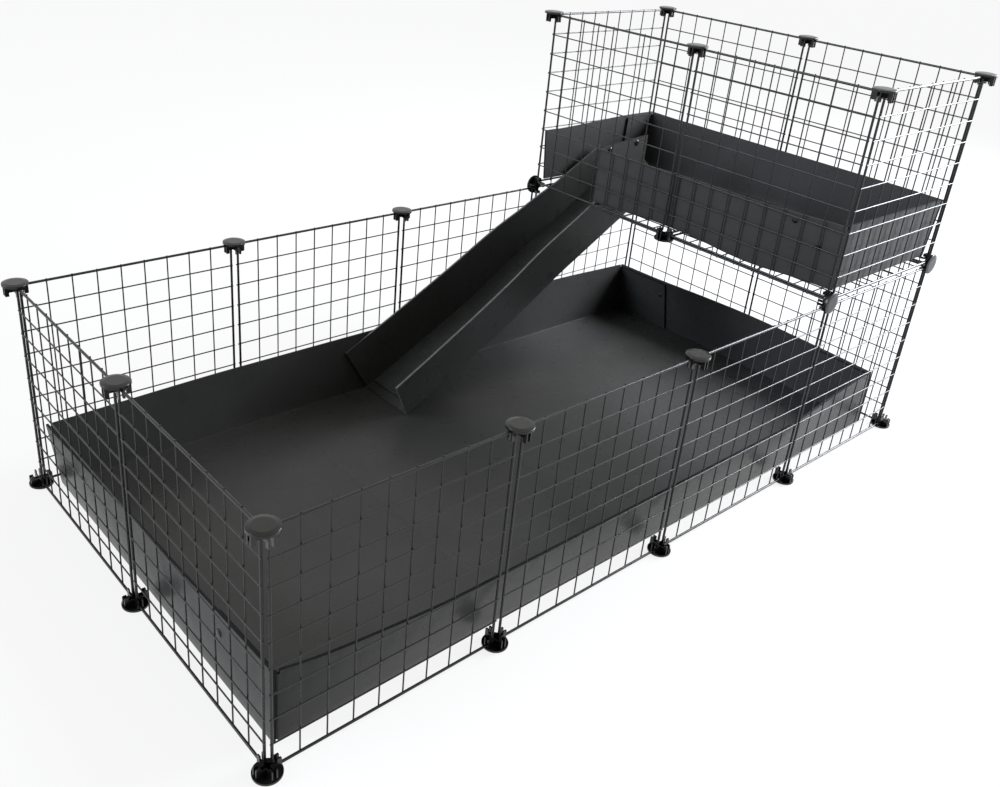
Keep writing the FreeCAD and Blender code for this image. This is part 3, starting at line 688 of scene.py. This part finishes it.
# %% [markdown]
# ## Base tray
#
# The base tray is a rectangle of sheet with its four sides folded up. At each corner the long
# wall's end is folded round and lies inside the short wall, held there by a rivet. The sheet is
# springy, so between its corners the front wall leans out until it touches the wires, and the
# back wall is pushed out by the ramp. The tray is first laid out straight, and then a field of
# small shifts, which grow with height, leans its walls.

# %% How the base tray leans
LEAN_BLUR = 60.0 * MM
LEAN_REACH = 230.0 * MM
# Each table holds places along a wall and how far the rim leans outwards there
FRONT_LEAN = (np.array([-691, -684, -648, -609, -568, -525, -481, -430, 300, 374, 440, 506, 600, 691]) * MM,
              np.array([0, 4, 12, 17, 21, 24, 28, 29.5, 29.5, 28, 21, 14, 6, 0]) * MM)
BACK_LEAN = (np.array([-691, -600, -500, -400, 150, 450, 538, 601, 691]) * MM,
             np.array([1, 6, 11, 14.5, 15.5, 16, 12, 7, 1]) * MM)
LEFT_LEAN = (np.array([-326, 0, 224, 339]) * MM,
             np.array([0, 6, 12, 14]) * MM)
RIGHT_LEAN = (np.array([-326, -251, -177, -83, 7, 114, 223, 339]) * MM,
              np.array([-9, -2, 2, 7, 8, 1, -11, -15]) * MM)
base_low, base_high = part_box("base_tray")


def lean_base(points):
    """Lean of the base tray's walls: a point moves out by its wall's lean times its share of the height.

    The end walls' lean also carries the ends of the long walls along, fading out over the lean reach.
    """
    x, y, z = points[..., 0], points[..., 1], points[..., 2]
    rise = np.clip(z / base_high.z, 0, 1)
    front = eased(x, *FRONT_LEAN, LEAN_BLUR) * (y < 0)
    back = eased(x, *BACK_LEAN, LEAN_BLUR) * (y > 0)
    left = eased(y, *LEFT_LEAN, LEAN_BLUR) * fading(x - base_low.x, LEAN_REACH)
    right = eased(y, *RIGHT_LEAN, LEAN_BLUR) * fading(base_high.x - x, LEAN_REACH)
    moved = points.copy()
    moved[..., 0] += rise * (right - left)
    moved[..., 1] += rise * (back - front)
    return moved


# %% Base tray
BASE_FLAP = 150.0 * MM
BASE_COLUMNS = 61
BASE_ROWS = 31
# The crease across the floor: its place from the left end, its rise, its spread and its points in spreads
CREASE_PLACE = 399.0 * MM
CREASE_RISE = 0.3 * MM
CREASE_SPREAD = 2.8 * MM
CREASE_POINTS = np.array([-3, -1.5, -0.7, 0, 0.7, 1.5, 3])


def base_floor(xs, ys):
    """Floor of the base tray: level but for a crease, a ridge of the form exp(-(x / spread)^2)."""
    floor = level_grid(xs, ys)
    ridge = np.exp(-((xs - base_low.x - CREASE_PLACE) / CREASE_SPREAD) ** 2)
    inside = np.clip(np.minimum(ys - ys[0], ys[-1] - ys) / CORNER, 0, 1)
    floor[..., 2] = CREASE_RISE * ridge[:, None] * inside[None, :]
    return floor, floor[..., :2]


def lay_base_tray():
    """Patches of the base tray: floor, four walls with their folds, and four corner flaps."""
    x0, y0 = base_low.x, base_low.y
    x1, y1, top = base_high
    crease = x0 + CREASE_PLACE + CREASE_SPREAD * CREASE_POINTS
    even_xs = np.linspace(x0 + CORNER, x1 - CORNER, BASE_COLUMNS)
    xs = np.unique(np.concatenate([[x0 + FOLD, x1 - FOLD], even_xs, crease]))
    ys = np.concatenate([[y0 + FOLD], np.linspace(y0 + CORNER, y1 - CORNER, BASE_ROWS), [y1 - FOLD]])
    patches = [base_floor(xs, ys)]
    for edge, outward in ((y0, -1), (y1, 1)):
        section, flat = wall_section(edge, outward, top)
        patches.append((swept(section, xs[1:-1], 0), flat_place(xs[None, 1:-1], flat[:, None])))
    ends = np.concatenate([[y0], ys, [y1]])
    for edge, outward in ((x0, -1), (x1, 1)):
        section, flat = wall_section(edge, outward, top)
        patches.append((swept(section, ends, 1), flat_place(flat[:, None], ends[None, :])))
        for side, inward in ((y0, 1), (y1, -1)):
            grid, travelled, risen = corner_flap((edge, side), (-outward, 0), (0, inward), BASE_FLAP, top)
            flat = flat_place(edge - outward * CORNER + outward * travelled, side + inward * (FOLD - risen))
            patches.append((grid, flat))
    return [(lean_base(grid), flat) for grid, flat in patches]


base_tray = join_patches("base_tray_sheet", lay_base_tray(), [sheet_plastic, cut_edge_painted_shade], SHEET)
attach(base_tray, "cage")
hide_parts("base_tray")

# %% [markdown]
# ## Loft tray
#
# The loft tray is folded the same way, but its floor has a hole for the ramp, its back wall runs
# on over that hole with a free end, and the wall towards the ramp is cut and folded in beside it
# as a guard, so that bedding stays on the loft. It lies only on the joints, so it has settled:
# its floor sags between them, its far walls splay and its rims droop. As with the base tray, a
# field of shifts does that to a tray laid out straight.

# %% How the loft tray has settled
GUARD_LENGTH = 144.0 * MM
HOLE_FRONT = 198.3 * MM
HOLE_END = 592.7 * MM
SPLAY_REACH = 60.0 * MM
FAR_SPLAY = 20.0 * MM
BACK_SPLAY = 10.0 * MM
FLOOR_SAG = 8.0 * MM
# Distance from joint to joint, and half the breadth of what the tray rests on at each
JOINT_SPAN = 358.7 * MM
JOINT_REST = 24.0 * MM
# How far the rims droop: near the ramp by place across, front and back by distance from the near wall
NEAR_DROP = (np.array([-353, -300, -200, 0, 80, 150, 199]) * MM,
             np.array([2, 5, 9, 11, 14, 16, 12]) * MM)
FRONT_DROP = (np.array([0, 347]) * MM,
              np.array([2, 8]) * MM)
BACK_DROP = (np.array([0, 120, 228, 347]) * MM,
             np.array([17, 12, 6, 4]) * MM)
FAR_DROP = 6.0 * MM
loft_low, loft_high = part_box("loft_tray")
LOFT_TOP = loft_high.z - loft_low.z


def settle_loft(points):
    """How the loft tray has settled: far walls splay, the floor sags between joints, the rims droop.

    A splayed wall's foot stands further in than its rim. The sag is d sin^2 of the share of the way
    from joint to joint. A rim's droop is the mean of its walls' droops, by how near each wall is.
    """
    x, y, z = points[..., 0], points[..., 1], points[..., 2]
    rise = np.clip(z / LOFT_TOP, 0, 1)
    from_left = x - loft_low.x
    near, far = fading(from_left, SPLAY_REACH), fading(loft_high.x - x, SPLAY_REACH)
    front, back = fading(y - loft_low.y, SPLAY_REACH), fading(loft_high.y - y, SPLAY_REACH)
    on_guard = (np.abs(y - HOLE_FRONT) < SHEET) & (from_left < GUARD_LENGTH + MM)
    near = np.where(on_guard, np.clip(1 - from_left / GUARD_LENGTH, 0, 1), near)
    drop = (near * eased(y, *NEAR_DROP, SPLAY_REACH)
            + far * FAR_DROP
            + front * eased(from_left, *FRONT_DROP, SPLAY_REACH)
            + back * eased(from_left, *BACK_DROP, SPLAY_REACH))
    way = np.clip((np.abs(y) - JOINT_REST) / (JOINT_SPAN - 2 * JOINT_REST), 0, 1)
    moved = points.copy()
    moved[..., 0] -= (1 - rise) * FAR_SPLAY * far
    moved[..., 1] -= (1 - rise) * BACK_SPLAY * back
    moved[..., 2] -= (1 - rise) * FLOOR_SAG * np.sin(math.pi * way) ** 2
    moved[..., 2] -= rise * drop / np.maximum(near + far + front + back, 1)
    return moved


# %% Floor and walls of the loft tray
COLUMNS_BESIDE_HOLE = 12
COLUMNS_BEYOND_HOLE = 8
ROWS_BEFORE_HOLE = 26
ROWS_BESIDE_HOLE = 9
GUARD_BEND = 3.0 * MM
GUARD_START = HOLE_FRONT - GUARD_BEND
loft_split = HOLE_FRONT - SHEET - FLAP_LOOSE
loft_xs = np.concatenate([[loft_low.x + FOLD],
                          np.linspace(loft_low.x + CORNER, HOLE_END, COLUMNS_BESIDE_HOLE),
                          np.linspace(HOLE_END, loft_high.x - CORNER, COLUMNS_BEYOND_HOLE)[1:],
                          [loft_high.x - FOLD]])
front_ys = np.concatenate([[loft_low.y + FOLD],
                           np.linspace(loft_low.y + CORNER, loft_split, ROWS_BEFORE_HOLE)])
back_ys = np.concatenate([np.linspace(loft_split, loft_high.y - CORNER, ROWS_BESIDE_HOLE),
                          [loft_high.y - FOLD]])
beyond_hole = loft_xs[loft_xs > HOLE_END - MERGE]
left_wall, left_flat = wall_section(loft_low.x, -1, LOFT_TOP)
right_wall, right_flat = wall_section(loft_high.x, 1, LOFT_TOP)
front_wall, front_flat = wall_section(loft_low.y, -1, LOFT_TOP)
back_wall, back_flat = wall_section(loft_high.y, 1, LOFT_TOP)
upright_rows = len(wall_heights(LOFT_TOP))


def loft_floor():
    """Floor of the loft tray in two parts: all that is in front of the hole, and what lies beyond it."""
    parts = [level_grid(loft_xs, front_ys), level_grid(beyond_hole, back_ys)]
    return [(floor, floor[..., :2]) for floor in parts]


def loft_long_walls():
    """Front wall, and back wall in two parts: folded up beyond the hole, and a free strip over the hole."""
    front_xs = loft_xs[1:-1]
    front = swept(front_wall, front_xs, 0), flat_place(front_xs[None, :], front_flat[:, None])
    back_xs = np.concatenate([beyond_hole, [loft_high.x]])
    back = swept(back_wall, back_xs, 0), flat_place(back_xs[None, :], back_flat[:, None])
    in_hole = (loft_xs > loft_low.x + CORNER) & (loft_xs < HOLE_END + MERGE)
    over_hole = np.concatenate([[loft_low.x], loft_xs[in_hole]])
    strip = np.concatenate([back_wall[:upright_rows], [[loft_high.y, 0.0]]])
    strip_flat = np.concatenate([back_flat[:upright_rows], [back_flat[upright_rows - 1] - FOLD]])
    free = swept(strip, over_hole, 0), flat_place(over_hole[None, :], strip_flat[:, None])
    return [front, back, free]


def loft_end_walls():
    """Right wall from end to end, and left wall as far as the guard."""
    ends = np.concatenate([[loft_low.y], front_ys, back_ys[1:-1]])
    right = swept(right_wall, ends, 1), flat_place(right_flat[:, None], ends[None, :])
    near_ys = np.unique(np.concatenate([[loft_low.y], front_ys[front_ys < GUARD_START], [GUARD_START]]))
    left = swept(left_wall, near_ys, 1), flat_place(left_flat[:, None], near_ys[None, :])
    return [right, left]


# %% Flaps and guard of the loft tray
LOFT_FLAP = 120.0 * MM
BACK_FLAP = 105.0 * MM
GUARD_COLUMNS = 6


def loft_flaps():
    """Flaps at three corners: two run on from the front wall, and one from the right wall."""
    x0, y0, x1, y1 = loft_low.x, loft_low.y, loft_high.x, loft_high.y
    patches = []
    for x, along in ((x0, 1), (x1, -1)):
        grid, travelled, risen = corner_flap((x, y0), (along, 0), (0, 1), LOFT_FLAP, LOFT_TOP)
        patches.append((grid, flat_place(x + along * (CORNER - travelled), y0 + FOLD - risen)))
    grid, travelled, risen = corner_flap((x1, y1), (0, -1), (-1, 0), BACK_FLAP, LOFT_TOP)
    patches.append((grid, flat_place(x1 - FOLD + risen, y1 - (CORNER - travelled))))
    return patches


def loft_guard():
    """Guard beside the ramp: the left wall's end, bent a quarter turn in plan and run on inwards."""
    turn = quarter_turn()
    bend = np.stack([loft_low.x + GUARD_BEND * (1 - np.cos(turn)),
                     GUARD_START + GUARD_BEND * np.sin(turn)], 1)
    run = np.linspace(loft_low.x + GUARD_BEND, loft_low.x + GUARD_LENGTH, GUARD_COLUMNS)[1:]
    plan = np.concatenate([bend, np.stack([run, np.full(len(run), HOLE_FRONT)], 1)])
    heights = wall_heights(LOFT_TOP)
    guard = np.empty((len(heights), len(plan), 3))
    guard[..., :2] = plan[None, :, :]
    guard[..., 2] = heights[:, None]
    return guard, flat_place(left_flat[:upright_rows, None], GUARD_START + run_length(plan)[None, :])


def lay_loft_tray():
    """Patches of the loft tray, settled and then lifted to its place."""
    patches = [*loft_floor(), *loft_long_walls(), *loft_end_walls(), *loft_flaps(), loft_guard()]
    lift = np.array([0, 0, loft_low.z])
    return [(settle_loft(grid) + lift, flat) for grid, flat in patches]


loft_tray = join_patches("loft_tray_sheet", lay_loft_tray(), [sheet_plastic, cut_edge_painted_shade], SHEET)
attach(loft_tray, "loft_tray")
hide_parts("loft_tray")

# %% [markdown]
# ## The ramp's slope
#
# The ramp and its mat are laid out in a frame of their own, u up the slope, y across and w
# square to the slope, and then turned. The slope is the direction in which the ramp slides. A
# slab's height and length follow from it and from the slab's upright box.

# %% Slope
ramp_low, ramp_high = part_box("ramp")
slide = next(joint for joint in frame["joints"] if joint["name"] == "ramp_slide")
UP_X, UP_Z = slide["axis"][0], slide["axis"][2]


def slab_height(low, high):
    """Height, square to the slope, of a slab whose upright box is known.

    The box is l cos + w sin wide and l sin + w cos high, so w = (high cos - wide sin) / (cos^2 - sin^2).
    """
    return ((high.z - low.z) * UP_X - (high.x - low.x) * UP_Z) / (UP_X ** 2 - UP_Z ** 2)


RAMP_WALL = slab_height(ramp_low, ramp_high)
FOOT_X = ramp_low.x + RAMP_WALL * UP_Z
RAMP_LENGTH = (ramp_high.x - FOOT_X) / UP_X


def on_slope(points):
    """Turn points (u, y, w) of the ramp's frame: x = foot + u cos - w sin, z = foot + u sin + w cos."""
    along, across, square = points[..., 0], points[..., 1], points[..., 2]
    return np.stack([FOOT_X + along * UP_X - square * UP_Z, across,
                     ramp_low.z + along * UP_Z + square * UP_X], -1)


print("ramp %.1f long, walls %.1f high" % (RAMP_LENGTH / MM, RAMP_WALL / MM))

# %% [markdown]
# ## Ramp
#
# The ramp is a channel of sheet: a floor with a wall folded up along either side. Both walls
# lean and wave where nothing holds them, and stand straight where they pass the loft's wires.
# The floor sags a little between its foot and the notch's edge, where it rests, and the upper
# corners of the walls are cut back. One channel profile is carried up the slope, and tables of
# leans and falls, read by distance up the slope, bend it.

# %% Ramp channel
RAMP_ROWS = 7
RAMP_COLUMNS = 97
RAMP_FLOOR_POINTS = 13
RAMP_BLUR = 45.0 * MM
END_CUT = 32.0 * MM
END_REACH = 60.0 * MM
# Each table holds distances up the slope, and how far the floor sags or a rim leans out or falls there
RAMP_SAG = (np.array([0, 68, 150, 222, 290, 350, 400, 440]) * MM,
            np.array([0, 2.5, 5.5, 7.5, 8, 5.5, 2, 0]) * MM)
NEAR_LEAN = (np.array([0, 80, 180, 270, 330, 375, 400]) * MM,
             np.array([20, 18, 14, 9, 4.5, 1, 0]) * MM)
NEAR_FALL = (np.array([0, 120, 200, 280, 340, 400, 480, 560, 620, 700]) * MM,
             np.array([4, 3, 3, 4, 8, 10, 10, 9, 5, 0]) * MM)
FAR_LEAN = (np.array([0, 68, 129, 168, 368, 464, 537, 596, 661]) * MM,
            np.array([11.5, 11.5, 10.5, 8, 2, 1, 0, -8, -9]) * MM)
FAR_FALL = (np.array([0, 120, 180, 240, 300, 360, 420, 480, 540, 660, 740]) * MM,
            np.array([0, 0, -3, -4.5, -5, -4.5, 0, 6, 8, 7, 9]) * MM)


def ramp_sag(along):
    """How far the ramp's floor hangs below a straight line, square to the slope."""
    return eased(along, *RAMP_SAG, RAMP_BLUR) * (along > 0)


def ramp_profile():
    """Channel in section: down the near wall, round its fold, across the floor, and up the far wall."""
    y0, y1 = ramp_low.y, ramp_high.y
    rows = np.linspace(RAMP_WALL, FOLD, RAMP_ROWS)
    near = np.stack([np.full(RAMP_ROWS, y0), rows], 1)
    far = np.stack([np.full(RAMP_ROWS, y1), rows[::-1]], 1)
    floor_ys = np.linspace(y0 + FOLD, y1 - FOLD, RAMP_FLOOR_POINTS)[1:-1]
    floor = np.stack([floor_ys, np.zeros(len(floor_ys))], 1)
    return np.concatenate([near, fold_section(y0, -1)[1:], floor, fold_section(y1, 1)[:0:-1], far])


def lay_ramp():
    """Patch of the ramp: the channel profile, carried up the slope and bent by sag, leans and falls."""
    profile = ramp_profile()
    grid = swept(profile, np.linspace(0, RAMP_LENGTH, RAMP_COLUMNS), 0)
    along, across, square = grid[..., 0], grid[..., 1], grid[..., 2]
    share = np.clip((square - FOLD) / (RAMP_WALL - FOLD), 0, 1)
    near_side = across < (ramp_low.y + ramp_high.y) / 2
    lean = np.where(near_side, -eased(along, *NEAR_LEAN, RAMP_BLUR), eased(along, *FAR_LEAN, RAMP_BLUR))
    rim_fall = np.where(near_side, eased(along, *NEAR_FALL, RAMP_BLUR), eased(along, *FAR_FALL, RAMP_BLUR))
    fall = ramp_sag(along) + share * rim_fall
    cut = share * END_CUT * fading(RAMP_LENGTH - along, END_REACH)
    moved = np.stack([along - cut, across + share * lean, square - fall], -1)
    return [(on_slope(moved), flat_place(along, run_length(profile)[:, None]))]


# The ramp's rims take the pale edge finish, which is a painted highlight
ramp = join_patches("ramp_sheet", lay_ramp(), [sheet_plastic, ramp_edge_painted_highlight], SHEET)
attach(ramp, "ramp")
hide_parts("ramp")

# %% [markdown]
# ## Mat
#
# The mat is a strip of rubber with fine ribs across it, so that small feet don't slip. It lies
# on the ramp's floor and follows its sag. Each rib is a low rounded ridge, made as a wave along
# the slope whose hollows are wide and whose crests are narrow. A bump would do from afar, but
# the ribs stand out against the light from the side, so they are real shape.

# %% Ribbed mat
RIB_PITCH = 6.0 * MM
RIB_HEIGHT = 0.9 * MM
RIB_POINTS = 6
MAT_COLUMNS = 9
mat_low, mat_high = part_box("ramp_mat")


def closed_shell(over, under):
    """Patches that close the room between two grids of the same size: both grids and the four sides."""
    sides = [np.stack([over[:, 0], under[:, 0]]), np.stack([over[:, -1], under[:, -1]]),
             np.stack([over[0], under[0]]), np.stack([over[-1], under[-1]])]
    return [over, under, *sides]


def lay_mat():
    """Mat in the ramp's frame: its top lies at t - h (1 - |cos(pi u / pitch)|) over the ramp's floor."""
    thickness = slab_height(mat_low, mat_high)
    foot_x = mat_low.x + thickness * UP_Z - FOOT_X
    foot_z = mat_low.z - ramp_low.z
    start = foot_x * UP_X + foot_z * UP_Z
    base = foot_z * UP_X - foot_x * UP_Z
    length = (mat_high.x - FOOT_X - foot_x) / UP_X
    ribs = int(length / RIB_PITCH)
    along = np.linspace(start, start + length, ribs * RIB_POINTS + 1)
    across = np.linspace(mat_low.y, mat_high.y, MAT_COLUMNS)
    rest = base - ramp_sag(along)
    ridge = np.abs(np.cos(math.pi * (along - start) * ribs / length))
    top = rest + thickness - RIB_HEIGHT * (1 - ridge)
    grids = [np.stack(np.broadcast_arrays(along[:, None], across[None, :], level[:, None]), -1)
             for level in (top, rest)]
    print("mat %.2f thick, %d ribs" % (thickness / MM, ribs))
    return [(on_slope(grid), grid[..., :2]) for grid in closed_shell(*grids)]


mat = join_patches("ribbed_mat", lay_mat(), [rubber])
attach(mat, "ramp")
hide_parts("ramp_mat")

# %% [markdown]
# ## Push rivets
#
# A push rivet has a low domed head outside, a shank through the sheets, and a smaller spread
# tail inside. It could be put together from discs and a cylinder, but it is a turned shape, so
# it is turned like a piece on a lathe: a half section, carried round its axis. The trays' walls
# lean and droop, so each rivet is shifted with its wall, and turned with it where it leans.

# %% Rivet shape
RIVET_HEAD = 6.0 * MM
RIVET_HEAD_RISE = 2.0 * MM
RIVET_EDGE = 0.6 * MM
RIVET_DIMPLE = 1.5 * MM
RIVET_DIMPLE_DEPTH = 0.5 * MM
RIVET_SHANK = 2.5 * MM
RIVET_TAIL = 4.5 * MM
RIVET_TAIL_RISE = 1.6 * MM
RIVET_STEPS = 32
DOME_POINTS = 7
DOME_START = math.radians(75)


def rivet_section(grip):
    """Half section of a rivet, radius and height along its axis, from the head's middle to the tail's."""
    dome = np.linspace(DOME_START, 0, DOME_POINTS)
    crown_rise = RIVET_HEAD_RISE - RIVET_EDGE
    crown = np.stack([RIVET_HEAD * np.cos(dome), -RIVET_EDGE - crown_rise * np.sin(dome)], 1)
    middle = [[0, -RIVET_HEAD_RISE + RIVET_DIMPLE_DEPTH], [RIVET_DIMPLE, -RIVET_HEAD_RISE]]
    shank = [[RIVET_HEAD, 0], [RIVET_SHANK, 0], [RIVET_SHANK, grip], [RIVET_TAIL, grip]]
    bulge = np.linspace(0, math.pi / 2, DOME_POINTS)
    tail = np.stack([RIVET_TAIL * np.cos(bulge), grip + RIVET_TAIL_RISE * np.sin(bulge)], 1)
    tail[-1, 0] = 0
    return np.concatenate([middle, crown, shank, tail[1:]])


def turned(section, seat, axis):
    """Section turned round an axis through its seat: seat + height axis + radius (cos side + sin up)."""
    along = np.array(Vector(axis).normalized())
    side = np.cross((0.0, 0.0, 1.0), along)
    side /= np.linalg.norm(side)
    up = np.cross(along, side)
    angle = np.linspace(0, 2 * math.pi, RIVET_STEPS + 1)
    ring = np.cos(angle)[:, None] * side + np.sin(angle)[:, None] * up
    surface = seat + section[:, None, 1:] * along + section[:, None, :1] * ring[None]
    return surface, surface[..., :2]


# %% Rivets of the base tray
TWO_SHEETS = 2 * SHEET + FLAP_LOOSE
base_rivets_low, base_rivets_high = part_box("base_tray_rivets")


def place_base_rivets():
    """Four rivets where the leaning end walls have carried their holes, each square to its wall."""
    level = (base_rivets_low.z + base_rivets_high.z) / 2
    patches = []
    for x, inward in ((base_low.x, 1.0), (base_high.x, -1.0)):
        for y in (base_rivets_low.y + RIVET_HEAD, base_rivets_high.y - RIVET_HEAD):
            seat = lean_base(np.array([x, y, level]))
            rim = lean_base(np.array([x, y, base_high.z]))
            axis = (inward, 0.0, -inward * (rim[0] - x) / base_high.z)
            patches.append(turned(rivet_section(TWO_SHEETS), seat, axis))
    return patches


base_rivets = join_patches("base_tray_push_rivets", place_base_rivets(), [abs_plastic])
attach(base_rivets, "cage")
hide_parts("base_tray_rivets")

# %% Rivets of the loft tray
FIRST_GUARD_RIVET = 30.0 * MM
WALL_RIVET_SPACING = 54.0 * MM
loft_rivets_low, loft_rivets_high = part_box("loft_tray_rivets")


def place_loft_rivets():
    """Two rivets through the left wall and its flap by the front corner, and two through the guard."""
    wall_x = loft_low.x
    wall_y = loft_rivets_low.y + RIVET_HEAD
    low_z = loft_rivets_low.z + RIVET_HEAD
    top_z = loft_rivets_high.z - RIVET_HEAD
    guard_y = HOLE_FRONT - SHEET
    places = (((wall_x, wall_y, low_z), (1, 0, 0), TWO_SHEETS),
              ((wall_x, wall_y + WALL_RIVET_SPACING, top_z), (1, 0, 0), TWO_SHEETS),
              ((wall_x + FIRST_GUARD_RIVET, guard_y, top_z), (0, 1, 0), SHEET),
              ((loft_rivets_high.x - RIVET_HEAD, guard_y, top_z), (0, 1, 0), SHEET))
    lift = np.array([0, 0, loft_low.z])
    return [turned(rivet_section(grip), settle_loft(np.array(seat) - lift) + lift, axis)
            for seat, axis, grip in places]


loft_rivets = join_patches("loft_tray_push_rivets", place_loft_rivets(), [abs_plastic])
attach(loft_rivets, "loft_tray")
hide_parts("loft_tray_rivets")
